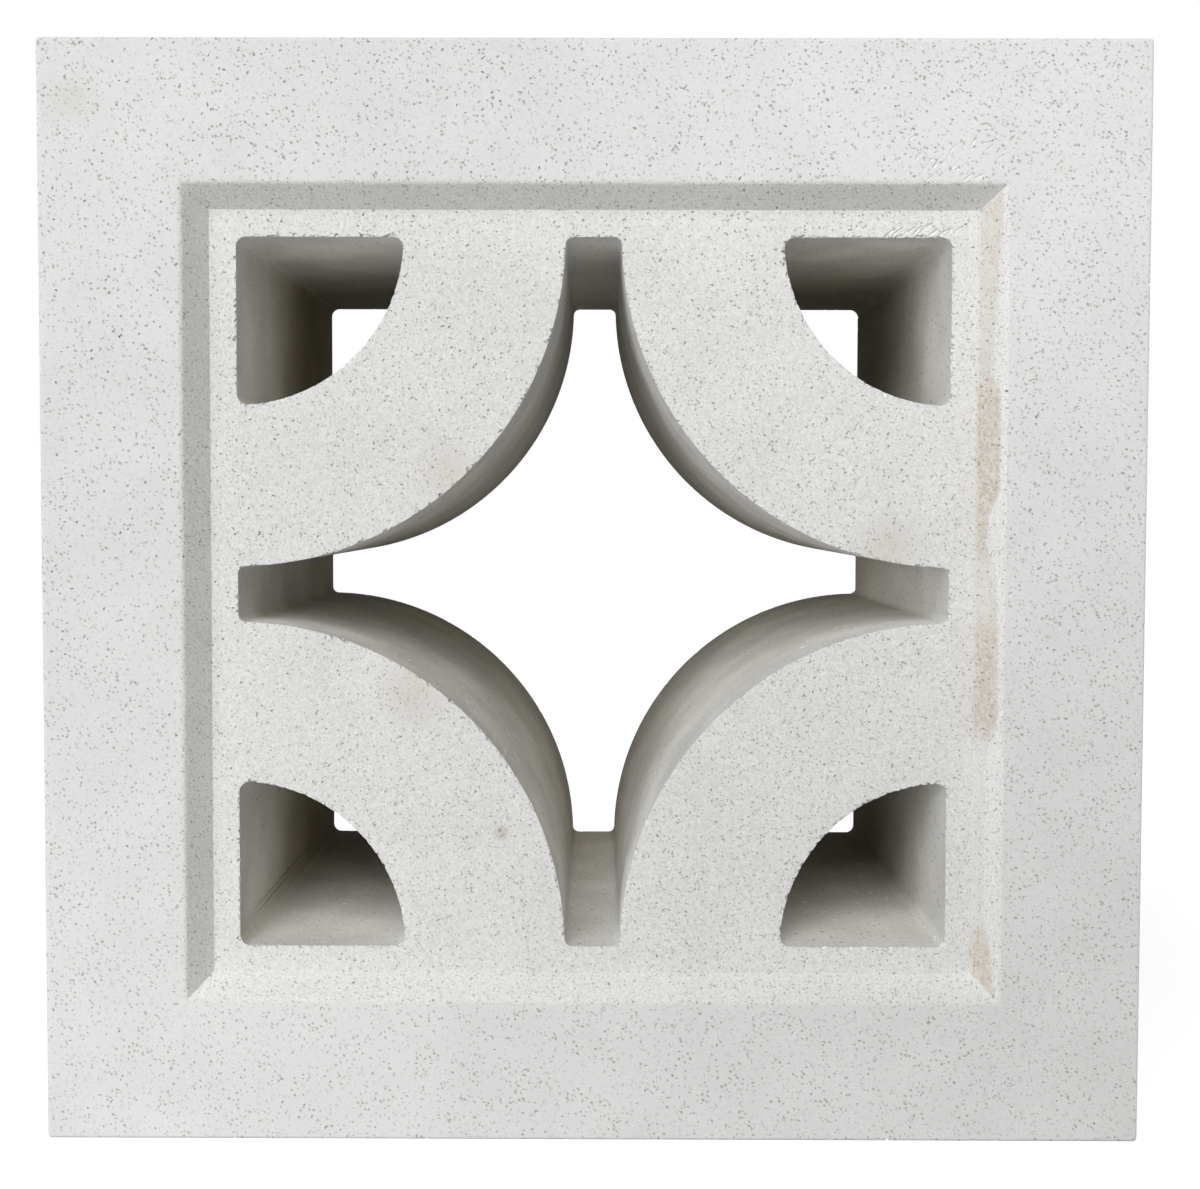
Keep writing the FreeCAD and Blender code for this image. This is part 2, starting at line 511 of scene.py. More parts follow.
@dataclass
class SkinCutter:
    """The geometry tree that cuts pits, crumbs and scuffs out of the block.

    Args:
        form: The block's planes and half widths.
        pits: The rule of the air pits.
        rims: The rule of the crumbled rims.
        scuffs: The scratched patches.
        concrete: The block's material.
        seed: Start of every random draw.
        groove_unevenness: How far the corners of a scratch's mould may move, in half widths.
    """

    form: BlockForm
    pits: PitRule
    rims: RimRule
    scuffs: tuple[Scuff, ...]
    concrete: Material
    seed: int = 7
    groove_unevenness: float = 0.2

    def __post_init__(self) -> None:
        """Start the tree with its named inputs, and note the value and the identifier of each."""
        tree = bpy.data.node_groups.new("weathered_skin", "GeometryNodeTree")
        settings = {
            "Smallest Pit": ("NodeSocketFloat", self.pits.smallest * MM),
            "Largest Pit": ("NodeSocketFloat", self.pits.largest * MM),
            "Clump": ("NodeSocketFloat", self.pits.clump * MM),
            "Rim Step": ("NodeSocketFloat", self.rims.spacing * MM),
            "Smallest Bite": ("NodeSocketFloat", self.rims.smallest * MM),
            "Largest Bite": ("NodeSocketFloat", self.rims.largest * MM),
            "Seed": ("NodeSocketInt", self.seed),
            "Concrete": ("NodeSocketMaterial", self.concrete),
        }
        self.inputs: dict[str, object] = {}
        tree.interface.new_socket("Geometry", in_out="INPUT", socket_type="NodeSocketGeometry")
        for name, (kind, value) in settings.items():
            made = tree.interface.new_socket(name, in_out="INPUT", socket_type=kind)
            self.inputs[made.identifier] = value
        tree.interface.new_socket("Geometry", in_out="OUTPUT", socket_type="NodeSocketGeometry")
        self.wiring = Wiring(tree)
        self.given = self.wiring.node("NodeGroupInput").outputs

    def cut(self, piece: bpy.types.Object) -> None:
        """Run the tree on the block and keep the result as a plain mesh.

        Args:
            piece: The block, with its pits and rims marked.
        """
        self.fill()
        modifier = piece.modifiers.new("weathered_skin", "NODES")
        modifier.node_group = self.wiring.tree
        for identifier, value in self.inputs.items():
            modifier[identifier] = value
        graph = bpy.context.evaluated_depsgraph_get()
        plain = bpy.data.meshes.new_from_object(piece.evaluated_get(graph), depsgraph=graph)
        piece.modifiers.remove(modifier)
        piece.data = plain
        plain.calc_loop_triangles()
        LOG.info("%s: %d faces, %d triangles", piece.name, len(plain.polygons), len(plain.loop_triangles))

    def fill(self) -> None:
        """Fill the tree: wear is cut first, then the pits, whose depth is noted for the painted shade in
        them.
        """
        wiring = self.wiring
        wear = [self.scratches(scuff) for scuff in self.scuffs]
        worn = self.carved(self.given["Geometry"], [*wear, self.rim_bites()])
        cut = self.carved(worn, [self.air_pits()])
        away = wiring.out("GeometryNodeProximity", "Distance", {"Target": worn}, target_element="FACES")
        depth = wiring.fade(away, 0.0, self.pits.shaded * MM)
        hollow = {"Geometry": cut, "Name": "hollow", "Value": depth}
        stored = wiring.out(
            "GeometryNodeStoreNamedAttribute", "Geometry", hollow, data_type="FLOAT", domain="POINT"
        )
        real = wiring.out("GeometryNodeRealizeInstances", "Geometry", {"Geometry": stored})
        dressing = {"Geometry": real, "Material": self.given["Concrete"]}
        dressed = wiring.out("GeometryNodeSetMaterial", "Geometry", dressing)
        wiring.node("NodeGroupOutput", {"Geometry": dressed})

    def carved(self, mesh: NodeSocket, cutters: list[NodeSocket]) -> NodeSocket:
        """Cut shapes out of a mesh.

        Args:
            mesh: The mesh.
            cutters: The shapes, as instances.

        Returns:
            The mesh less the shapes.
        """
        feeds = {"Mesh 1": mesh}
        cut = self.wiring.node("GeometryNodeMeshBoolean", feeds, operation="DIFFERENCE", solver="MANIFOLD")
        for cutter in cutters:
            self.wiring.feed(cut.inputs["Mesh 2"], cutter)
        return cut.outputs["Mesh"]

    def noted(self, name: str) -> NodeSocket:
        """Read a note on the uncut block.

        Args:
            name: The note's name.

        Returns:
            What is noted there.
        """
        return self.wiring.out(
            "GeometryNodeInputNamedAttribute", "Attribute", {"Name": name}, data_type="FLOAT"
        )

    def chance(self, low: float, high: float, salt: int) -> NodeSocket:
        """Draw a random number for each element.

        Args:
            low: The least number.
            high: The greatest number.
            salt: The draw's own number.

        Returns:
            The number drawn.
        """
        seed = self.wiring.plus(self.given["Seed"], float(salt))
        feeds = {"Min_001": low, "Max_001": high, "Seed": seed}
        return self.wiring.out("FunctionNodeRandomValue", "Value_001", feeds, data_type="FLOAT")

    def scatter(self, low: Triple, high: Triple, salt: int) -> NodeSocket:
        """Return a random vector from low to high for each element, set apart by its salt."""
        feeds = {"Min": low, "Max": high, "Seed": self.seed + salt}
        return self.wiring.out("FunctionNodeRandomValue", "Value", feeds, data_type="FLOAT_VECTOR")

    def shifted(self, mesh: NodeSocket, reach: Triple, salt: int) -> NodeSocket:
        """Return a mesh or points with each corner moved at random, by up to the reach along each axis."""
        offset = self.scatter(tuple(-part for part in reach), reach, salt)
        return self.wiring.out("GeometryNodeSetPosition", "Geometry", {"Geometry": mesh, "Offset": offset})

    def sized(self, least: str, most: str, bias: float, salt: int) -> NodeSocket:
        """Return a random size between two of the tree's inputs.

        Args:
            least: Name of the input that holds the least size.
            most: Name of the input that holds the greatest size.
            bias: Power that makes small sizes commoner.
            salt: The draw's own number.

        Returns:
            The size, for each element.
        """
        draw = self.wiring.math("POWER", self.chance(0.0, 1.0, salt), bias)
        span = self.wiring.minus(self.given[most], self.given[least])
        return self.wiring.plus(self.given[least], self.wiring.times(draw, span))

    def pit_moulds(self) -> NodeSocket:
        """Make a few uneven cones, one unit wide and deep, with their points one unit down.

        Returns:
            The cones as instances to pick from.
        """
        wiring, tall = self.wiring, 1.0 + self.pits.proud
        pile = wiring.node("GeometryNodeJoinGeometry")
        for number, sides in enumerate(self.pits.sides):
            shape = {"Vertices": sides, "Radius Top": tall / 2, "Radius Bottom": 0.0, "Depth": tall}
            cone = wiring.out("GeometryNodeMeshCone", "Mesh", shape, fill_type="NGON")
            down = {"Geometry": cone, "Translation": (0.0, 0.0, -1.0)}
            lowered = wiring.out("GeometryNodeTransform", "Geometry", down)
            uneven = self.shifted(lowered, self.pits.unevenness, Draw.PIT_MOULD + number)
            single = wiring.out("GeometryNodeGeometryToInstance", "Instances", {"Geometry": uneven})
            wiring.feed(pile.inputs["Geometry"], single)
        return pile.outputs["Geometry"]

    def air_pits(self) -> NodeSocket:
        """Spread the pit moulds over the faces, thicker in clumps.

        Returns:
            The moulds as instances.
        """
        wiring, given, pits = self.wiring, self.given, self.pits
        place = wiring.out("GeometryNodeInputPosition", "Position")
        place = wiring.scaled(place, wiring.math("DIVIDE", 1.0, given["Clump"]))
        clumps = wiring.out("ShaderNodeTexNoise", "Fac", {"Vector": place, "Scale": 1.0, "Detail": 2.0})
        gathered = wiring.fade(clumps, *pits.clump_edges, *pits.clump_rates)
        spread = wiring.node("GeometryNodeDistributePointsOnFaces", {
            "Mesh": given["Geometry"],
            "Density": wiring.times(self.noted("pit_rate"), gathered),
            "Seed": given["Seed"],
        }).outputs
        width = self.sized("Smallest Pit", "Largest Pit", pits.bias, Draw.PIT_SIZE)
        width = wiring.times(width, self.noted("pit_scale"))
        stretch = self.chance(*pits.stretch, Draw.PIT_STRETCH)
        deep = wiring.times(width, self.chance(*pits.depth, Draw.PIT_DEPTH))
        spin = {"Axis": (0.0, 0.0, 1.0), "Angle": self.chance(0.0, math.tau, Draw.PIT_TURN)}
        turn = {
            "Rotation": spread["Rotation"],
            "Rotate By": wiring.out("FunctionNodeAxisAngleToRotation", "Rotation", spin),
        }
        size = (wiring.times(width, stretch), wiring.math("DIVIDE", width, stretch), deep)
        return wiring.out("GeometryNodeInstanceOnPoints", "Instances", {
            "Points": spread["Points"],
            "Instance": self.pit_moulds(),
            "Pick Instance": True,
            "Rotation": wiring.out("FunctionNodeRotateRotation", "Rotation", turn, rotation_space="LOCAL"),
            "Scale": wiring.joined(*size),
        })

    def crumb(self) -> NodeSocket:
        """Make one uneven crumb with a few flat facets.

        Returns:
            The crumb's mesh.
        """
        lump = self.wiring.out("GeometryNodeMeshCube", "Mesh", {"Size": (self.rims.lump,) * 3})
        facets = self.wiring.out("GeometryNodeTriangulate", "Mesh", {"Mesh": lump})
        return self.shifted(facets, (self.rims.unevenness,) * 3, Draw.CRUMB_SHAPE)

    def groove(self) -> NodeSocket:
        """Return one uneven spindle for a scratch, two units long, wide and deep."""
        ball = self.wiring.out("GeometryNodeMeshIcoSphere", "Mesh", {"Radius": 1.0, "Subdivisions": 1})
        return self.shifted(ball, (self.groove_unevenness,) * 3, Draw.GROOVE_SHAPE)

    def rim_bites(self) -> NodeSocket:
        """Set crumbs along the marked edges.

        Returns:
            The crumbs as instances.
        """
        wiring, given, rims = self.wiring, self.given, self.rims
        share = self.noted("crumble")
        marked = {"Mesh": given["Geometry"], "Selection": wiring.math("GREATER_THAN", share, rims.marked)}
        along = {
            "Curve": wiring.out("GeometryNodeMeshToCurve", "Curve", marked),
            "Length": given["Rim Step"],
        }
        steps = wiring.out("GeometryNodeCurveToPoints", "Points", along, mode="LENGTH")
        bite = self.sized("Smallest Bite", "Largest Bite", rims.bias, Draw.BITE_SIZE)
        length = wiring.times(bite, self.chance(*rims.stretch, Draw.BITE_LENGTH))
        spin = self.scatter((0.0,) * 3, (math.tau,) * 3, Draw.BITE_TURN)
        return wiring.out("GeometryNodeInstanceOnPoints", "Instances", {
            "Points": self.shifted(steps, (rims.shift * MM,) * 3, Draw.BITE_SHIFT),
            "Selection": wiring.math("LESS_THAN", self.chance(0.0, 1.0, Draw.BITE_CHANCE), share),
            "Instance": self.crumb(),
            "Rotation": wiring.out("FunctionNodeEulerToRotation", "Rotation", {"Euler": spin}),
            "Scale": wiring.joined(bite, bite, length),
        })

    def scratches(self, scuff: Scuff) -> NodeSocket:
        """Set slanting scratches side by side over one patch.

        Args:
            scuff: The patch.

        Returns:
            The scratches as instances.
        """
        wiring = self.wiring
        salts = itertools.count(Draw.SCRATCH + Draw.SCRATCH_STEP * self.scuffs.index(scuff))
        width, height = (part * MM for part in scuff.size)
        number = wiring.out("GeometryNodeInputIndex", "Index")
        number = wiring.plus(number, self.chance(*scuff.stray, next(salts)))
        across = wiring.minus(wiring.times(number, width / scuff.count), width / 2)
        spot = wiring.joined(across, 0.0, self.chance(-height / 2, height / 2, next(salts)))
        depth = self.form.field if scuff.recessed else self.form.front
        centre = (scuff.centre[0] * MM, depth, scuff.centre[1] * MM)
        lean, sway = math.radians(scuff.lean), math.radians(scuff.sway)
        turn = wiring.joined(0.0, self.chance(-lean - sway, sway - lean, next(salts)), 0.0)
        sizes = [
            self.chance(share * most * MM, most * MM, next(salts))
            for share, most in (
                (scuff.shortest, scuff.length / 2),
                (scuff.slimmest, scuff.depth),
                (scuff.slimmest, scuff.width / 2),
            )
        ]
        dots = {"Count": scuff.count, "Position": wiring.vector("ADD", spot, centre)}
        return wiring.out("GeometryNodeInstanceOnPoints", "Instances", {
            "Points": wiring.out("GeometryNodePoints", "Points", dots),
            "Instance": self.groove(),
            "Rotation": wiring.out("FunctionNodeEulerToRotation", "Rotation", {"Euler": turn}),
            "Scale": wiring.joined(*sizes),
        })


def merged_copy() -> BMesh:
    """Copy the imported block's mesh and merge its doubles.

    Returns:
        The copy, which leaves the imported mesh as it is.
    """
    copy = bmesh.new()
    copy.from_mesh(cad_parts[NODE].data)
    bmesh.ops.remove_doubles(copy, verts=copy.verts, dist=MERGE_DISTANCE)
    copy.normal_update()
    return copy


@dataclass(frozen=True)
class EffectGroups:
    """Shader node groups that the finish is made with.

    Args:
        cloud: Soft uneven patches of a given size.
        specks: Ragged dots, dark ones for a share of the cells and painted glints for a few of the rest.
        spot: A soft round spot.
    """

    cloud: NodeTree
    specks: NodeTree
    spot: NodeTree

    @classmethod
    def build(cls) -> "EffectGroups":
        """Build the three groups."""
        return cls(cls.build_cloud(), cls.build_specks(), cls.build_spot())

    @staticmethod
    def started(
        name: str, vectors: Iterable[str], numbers: Iterable[str], outputs: Iterable[str] = ("Value",)
    ) -> tuple[Wiring, NodeOutputs]:
        """Begin a group with its named inputs and outputs.

        Args:
            name: The group's name.
            vectors: Names of the inputs that are vectors.
            numbers: Names of the inputs that are numbers.
            outputs: Names of the outputs, which are numbers.

        Returns:
            The group's wiring and its inputs.
        """
        tree = bpy.data.node_groups.new(name, "ShaderNodeTree")
        for label in vectors:
            tree.interface.new_socket(label, in_out="INPUT", socket_type="NodeSocketVector")
        for label in numbers:
            tree.interface.new_socket(label, in_out="INPUT", socket_type="NodeSocketFloat")
        for label in outputs:
            tree.interface.new_socket(label, in_out="OUTPUT", socket_type="NodeSocketFloat")
        wiring = Wiring(tree)
        return wiring, wiring.node("NodeGroupInput").outputs

    @classmethod
    def build_cloud(cls) -> NodeTree:
        """Build soft uneven patches: position and patch size in, low to high out.

        Returns:
            The group.
        """
        numbers = ("Size", "Detail", "Start", "End", "Low", "High")
        wiring, given = cls.started("cloud", ("Position",), numbers)
        noise = wiring.out("ShaderNodeTexNoise", "Fac", {
            "Vector": given["Position"],
            "Scale": wiring.math("DIVIDE", 1.0, given["Size"]),
            "Detail": given["Detail"],
        })
        value = wiring.fade(noise, given["Start"], given["End"], given["Low"], given["High"])
        wiring.node("NodeGroupOutput", {"Value": value})
        return wiring.tree

    @classmethod
    def build_specks(cls) -> NodeTree:
        """Build ragged dots: spacing, width and share in, dark dots, painted glints and each cell's tint
        out.

        Returns:
            The group.
        """
        smallest, growth, core = 0.3, 0.4, 0.45
        glint_from, tint_from = 0.86, 0.3
        outputs = ("Value", "Pale", "Tint")
        wiring, given = cls.started("specks", ("Position",), ("Spacing", "Width", "Share"), outputs)
        cells = wiring.node("ShaderNodeTexVoronoi", {
            "Vector": given["Position"],
            "Scale": wiring.math("DIVIDE", 1.0, given["Spacing"]),
        }).outputs
        size, choice, tint = wiring.parts(cells["Color"])
        away = wiring.times(cells["Distance"], given["Spacing"])
        reach = wiring.times(given["Width"], wiring.raised(smallest, (size, growth)))
        dot = wiring.fade(away, reach, wiring.times(reach, core))
        dark = wiring.math("LESS_THAN", choice, given["Share"])
        # A few of the other cells are painted glints, the highlights that grains catch.
        pale = wiring.math("GREATER_THAN", choice, glint_from)
        pale = wiring.times(pale, wiring.math("GREATER_THAN", tint, tint_from))
        shown = {"Value": wiring.times(dot, dark), "Pale": wiring.times(dot, pale), "Tint": tint}
        wiring.node("NodeGroupOutput", shown)
        return wiring.tree

    @classmethod
    def build_spot(cls) -> NodeTree:
        """Build a soft round spot: centre, reach along each axis and strength in, a mask out.

        Returns:
            The group.
        """
        wiring, given = cls.started("spot", ("Position", "Centre", "Reach"), ("Strength",))
        offset = wiring.vector("SUBTRACT", given["Position"], given["Centre"])
        offset = wiring.vector("DIVIDE", offset, given["Reach"])
        far = wiring.out("ShaderNodeVectorMath", "Value", {"Vector": offset}, operation="LENGTH")
        wiring.node("NodeGroupOutput", {"Value": wiring.fade(far, 1.0, 0.0, 0.0, given["Strength"])})
        return wiring.tree


@dataclass(frozen=True)
class ColourPatch:
    """A coloured patch; most are discoloured places, and three are painted shade in the lower left
    opening.

    Args:
        centre: X, depth behind the border face, and Z of its middle.
        reach: How far it spreads along each of those.
        tone: Its colour.
        strength: How far it covers the concrete in its middle.
    """

    centre: Triple
    reach: Triple
    tone: Colour
    strength: float


TAN: Colour = (0.555, 0.475, 0.37)
BROWN: Colour = (0.38, 0.29, 0.21)
OCHRE: Colour = (0.66, 0.63, 0.5)
# These two colours are painted shade in the lower left opening: its floor beside the left wall, and the
# crease where they meet.
NOOK_SHADE: Colour = (0.42, 0.36, 0.29)
CREASE_SHADE: Colour = (0.13, 0.11, 0.085)
STAINS_AND_SHADE: tuple[ColourPatch, ...] = (
    ColourPatch((-16.0, 4.0, 53.0), (1.9, 3.0, 1.9), BROWN, 0.9),
    ColourPatch((-31.5, 4.0, 77.5), (8.5, 6.0, 9.0), TAN, 0.5),
    ColourPatch((-25.5, 4.0, 116.4), (7.5, 6.0, 7.5), TAN, 0.4),
    ColourPatch((51.4, 4.0, 103.2), (9.0, 6.0, 8.0), TAN, 0.5),
    ColourPatch((-88.9, 0.0, 179.5), (6.5, 4.0, 5.0), OCHRE, 0.6),
    # Painted shade in the lower left opening: its floor beside the left wall, then two dark lines along
    # the crease between them.
    ColourPatch((-60.5, 32.0, 34.0), (9.0, 36.0, 7.0), NOOK_SHADE, 0.38),
    ColourPatch((-62.3, 38.0, 36.4), (1.0, 36.0, 0.6), CREASE_SHADE, 1.0),
    ColourPatch((-62.3, 32.0, 35.2), (1.0, 30.0, 0.48), CREASE_SHADE, 1.0),
)


@dataclass(frozen=True)
class SplaySand:
    """Tan sand that clings to the sloping side of the recess on the right.

    Places up the slope run from 0 at its foot to 1 at its lip.

    Args:
        tone: Its colour.
        profile: Height in millimetres, strength and covered share of the slope, from the bottom up.
        lip: How far below the mouth the sand ends.
        foot: Places up the slope between which it begins.
        spill: Places on the ledge below the slope between which a little of it is spilt.
        spilt: How much of it is spilt there.
        ragged: Half width of its upper edge, up the slope.
        mitre: Places beside the mitred corners between which it ends, in millimetres.
        tinted: How much each grain's own tint counts beside the fine noise.
        grains: Sums of tint and noise between a bare grain and a covered one.
        bare: How far it covers a bare grain.
    """

    tone: Colour = (0.545, 0.47, 0.375)
    profile: tuple[Triple, ...] = (
        (25.0, 0.95, 1.0),
        (34.0, 0.8, 0.8),
        (39.0, 0.3, 0.5),
        (68.0, 0.22, 0.6),
        (73.0, 0.9, 1.0),
        (88.0, 0.85, 1.0),
        (92.0, 0.45, 1.0),
        (100.0, 0.4, 0.8),
        (103.0, 0.8, 0.5),
        (109.0, 0.85, 0.55),
        (113.0, 1.0, 1.0),
        (130.0, 0.95, 1.0),
        (134.0, 0.65, 0.6),
        (140.0, 0.5, 0.75),
        (160.0, 0.6, 1.0),
    )
    lip: float = 1.2
    foot: Place = (-0.1, 0.1)
    spill: Place = (-1.9, 0.0)
    spilt: float = 0.15
    ragged: float = 0.12
    mitre: Place = (-0.1, 0.15)
    tinted: float = 0.4
    grains: Place = (0.35, 1.05)
    bare: float = 0.3

    def fill(self, ramp: bpy.types.ColorRamp, height: float) -> None:
        """Set a ramp's stops: the strength as red and the covered share as green.

        Args:
            ramp: The ramp, which runs from the block's bottom to its top.
            height: The block's height, in millimetres.
        """
        ready = len(ramp.elements)
        for number, (level, strength, share) in enumerate(self.profile):
            stop = ramp.elements[number] if number < ready else ramp.elements.new(level / height)
            stop.position = level / height
            stop.color = (strength, share, 0.0, 1.0)


@dataclass(frozen=True)
class PoreRule:
    """How the pores that are too small to cut, and the painted glints, are spread and shaded, in
    millimetres.

    Args:
        spacing: Step between them on the border, and what the recess and the walls add to it.
        width: Width of the largest, in the same way.
        share: Share of dark ones, in the same way.
        strength: How far the pit colour, painted shade with some dirt, covers a pore.
        clump: Size of the clumps in which the pores of the border are strongest.
        clump_edges: Noise between a thin place and a clump.
        thinnest: Share of its strength that a pore keeps in a thin place.
        pale: How far the glint colour covers a grain with a painted glint.
        pit_shade: How far the painted pit shade covers the bottom of a cut pit, and what the recess adds
            to it.
    """

    spacing: Triple = (0.78, -0.21, 0.63)
    width: Triple = (0.5, -0.15, 0.27)
    share: Triple = (0.7, 0.0, -0.4)
    strength: float = 0.84
    clump: float = 4.5
    clump_edges: Place = (0.36, 0.62)
    thinnest: float = 0.35
    pale: float = 0.45
    pit_shade: Place = (0.28, 0.34)


@dataclass(frozen=True)
class Ground:
    """What the finish knows of each point of the block.

    Args:
        wiring: The material's wiring.
        form: The block's planes and half widths.
        effects: The shared node groups.
        place: The point, in millimetres.
        grain: Fine noise.
        bent: The point moved a little by that noise, which makes the edges of dots, discoloured places and
            painted shade ragged.
        recess: Mask of the recess and its openings.
        walls: Mask of the walls of the openings.
        rough: Height of the grain, in millimetres.
        dust: How strongly painted shade darkens a wall deep inside.
        hollow: Mask of the cut pits, into which shade is painted.
    """

    wiring: Wiring
    form: BlockForm
    effects: EffectGroups
    place: NodeSocket
    grain: NodeSocket
    bent: NodeSocket
    recess: NodeSocket
    walls: NodeSocket
    rough: NodeSocket
    dust: NodeSocket
    hollow: NodeSocket


@dataclass(frozen=True)
class CastConcrete:
    """Matt off-white pressed concrete with fine grey pits, grain, mottling and discolouring, with some
    painted shade and glints.

    Args:
        border_tone: Colour of the smooth border and the outer faces.
        field_tone: Colour of the recessed field.
        wall_tone: Colour of the walls of the openings near the front.
        deep_shade_tone: Painted shade on those walls deep inside the openings, dark and warm.
        pit_dirt_and_shade: Colour painted into the pits and pores: painted shade, with some dirt.
        glint_tone: Colour of the painted glints on a few grains.
        roughness: Roughness of the matt surface.
        gloss: Level of its weak mirror reflection.
        grain: Size of the fine noise.
        wander: How far that noise draws pores and discoloured places out of shape along each axis.
        shade_depth: Y between walls with no painted shade and walls with the darkest.
        mottle: Size of the mottles.
        uneven: How much lighter and darker the mottles are, and what the walls add to it.
        sandy: How much lighter and darker the grain is, and what the recess adds to it.
        noise: Noise between the darkest and the lightest mottle or grain.
        blot_noise: Noise between a bare grain and a covered one, under the discoloured places and painted
            shade.
        bare: How far the discoloured places and painted shade cover a bare grain.
        pores: The rule of the pores that are too small to cut, and of the painted glints.
        stains_and_shade: The discoloured places, and patches of painted shade in the lower left opening.
        sand: The sand that clings to the splay on the right.
    """

    border_tone: Colour = (0.778, 0.795, 0.796)
    field_tone: Colour = (0.782, 0.786, 0.781)
    wall_tone: Colour = (0.79, 0.785, 0.757)
    deep_shade_tone: Colour = (0.47, 0.41, 0.28)
    pit_dirt_and_shade: Colour = (0.4, 0.373, 0.354)
    glint_tone: Colour = (0.93, 0.93, 0.92)
    roughness: float = 0.9
    gloss: float = 0.25
    grain: float = 0.42
    wander: Triple = (0.8, 0.6, -0.7)
    shade_depth: Place = (-40.0, 52.0)
    mottle: float = 14.0
    uneven: Place = (0.02, 0.08)
    sandy: Place = (0.03, 0.06)
    noise: Place = (0.25, 0.75)
    blot_noise: Place = (0.36, 0.64)
    bare: float = 0.15
    pores: PoreRule = PoreRule()
    stains_and_shade: tuple[ColourPatch, ...] = STAINS_AND_SHADE
    sand: SplaySand = SplaySand()

    def material(self, form: BlockForm, effects: EffectGroups) -> Material:
        """Build the material for the block.

        Args:
            form: The block's planes and half widths.
            effects: The shared node groups.

        Returns:
            The finished material.
        """
        made = bpy.data.materials.new("pressed_concrete")
        wiring = Wiring.emptied(made)
        place = wiring.scaled(wiring.out("ShaderNodeTexCoord", "Object"), 1.0 / MM)
        fine = {"Vector": place, "Scale": 1.0 / self.grain, "Detail": 1.0}
        grain = wiring.out("ShaderNodeTexNoise", "Fac", fine)
        bent = wiring.vector("ADD", place, wiring.scaled(self.wander, wiring.minus(grain, 0.5)))
        notes = {
            name: wiring.out("ShaderNodeAttribute", "Fac", attribute_name=name)
            for name in ("recess", "walls", "rough", "dust", "hollow")
        }
        ground = Ground(wiring, form, effects, place, grain, bent, **notes)
        dots = self.dotted(ground)
        colour = self.sanded(ground, self.mottled(ground), dots["Tint"])
        # Discoloured places, and patches of painted shade in the lower left opening.
        colour = self.stained_and_shaded(ground, colour)
        # Painted glints: a few grains lightened in place of the highlights they catch.
        colour = wiring.mix(wiring.times(dots["Pale"], self.pores.pale), colour, opaque(self.glint_tone))
        # Painted shade, with some dirt, in the cut pits and the fine pores.
        colour = wiring.mix(self.shaded(ground, dots["Value"]), colour, opaque(self.pit_dirt_and_shade))
        relief = {"Height": wiring.times(grain, ground.rough), "Distance": MM, "Strength": 1.0}
        shader = wiring.out("ShaderNodeBsdfPrincipled", "BSDF", {
            "Base Color": colour,
            "Roughness": self.roughness,
            "Specular IOR Level": self.gloss,
            "Normal": wiring.out("ShaderNodeBump", "Normal", relief),
        })
        wiring.node("ShaderNodeOutputMaterial", {"Surface": shader})
        return made

    def dotted(self, ground: Ground) -> NodeOutputs:
        """Set out the pores and the painted glints, finer in the recess and sparser on the walls.

        Args:
            ground: What is known of the point.

        Returns:
            The masks of dark pores and of painted glints, and each cell's own tint.
        """
        sizes = {
            name: ground.wiring.raised(base, (ground.recess, in_recess), (ground.walls, on_walls))
            for name, (base, in_recess, on_walls) in (
                ("Spacing", self.pores.spacing),
                ("Width", self.pores.width),
                ("Share", self.pores.share),
            )
        }
        return ground.wiring.group(ground.effects.specks, Position=ground.bent, **sizes)

    def shaded(self, ground: Ground, dots: NodeSocket) -> NodeSocket:
        """Paint shade, with some dirt, into the cut pits and the fine pores, which gather in clumps on the
        border.

        Args:
            ground: What is known of the point.
            dots: Mask of the fine pores.

        Returns:
            How far the pit colour covers the concrete.
        """
        wiring, rule = ground.wiring, self.pores
        start, end = rule.clump_edges
        clumps = wiring.group(
            ground.effects.cloud,
            Position=ground.bent,
            Size=rule.clump,
            Detail=0.0,
            Start=start,
            End=end,
            Low=rule.thinnest,
            High=1.0,
        )["Value"]
        pores = wiring.times(dots, wiring.math("MAXIMUM", clumps, ground.recess), rule.strength)
        depth = wiring.raised(rule.pit_shade[0], (ground.recess, rule.pit_shade[1]))
        return wiring.math("MAXIMUM", pores, wiring.times(ground.hollow, depth))

    def mottled(self, ground: Ground) -> NodeSocket:
        """Make the concrete's colour, with painted shade deep in the openings, before its pores and
        discolouring.

        Args:
            ground: What is known of the point.

        Returns:
            The mottled colour.
        """
        wiring = ground.wiring
        start, end = self.noise
        colour = wiring.mix(ground.recess, opaque(self.border_tone), opaque(self.field_tone))
        # Painted shade: the walls turn darker and warmer towards the back of the openings, where little
        # light reaches.
        deep = wiring.times(wiring.fade(wiring.parts(ground.place)[1], *self.shade_depth), ground.dust)
        inside = wiring.mix(deep, opaque(self.wall_tone), opaque(self.deep_shade_tone))
        colour = wiring.mix(ground.walls, colour, inside)
        uneven = wiring.raised(self.uneven[0], (ground.walls, self.uneven[1]))
        mottle = wiring.group(
            ground.effects.cloud,
            Position=ground.place,
            Size=self.mottle,
            Detail=1.0,
            Start=start,
            End=end,
            Low=wiring.minus(1.0, uneven),
            High=wiring.plus(1.0, uneven),
        )["Value"]
        sandy = wiring.raised(self.sandy[0], (ground.recess, self.sandy[1]))
        speckle = wiring.fade(ground.grain, start, end, wiring.minus(1.0, sandy), wiring.plus(1.0, sandy))
        return wiring.scaled(colour, wiring.times(mottle, speckle))

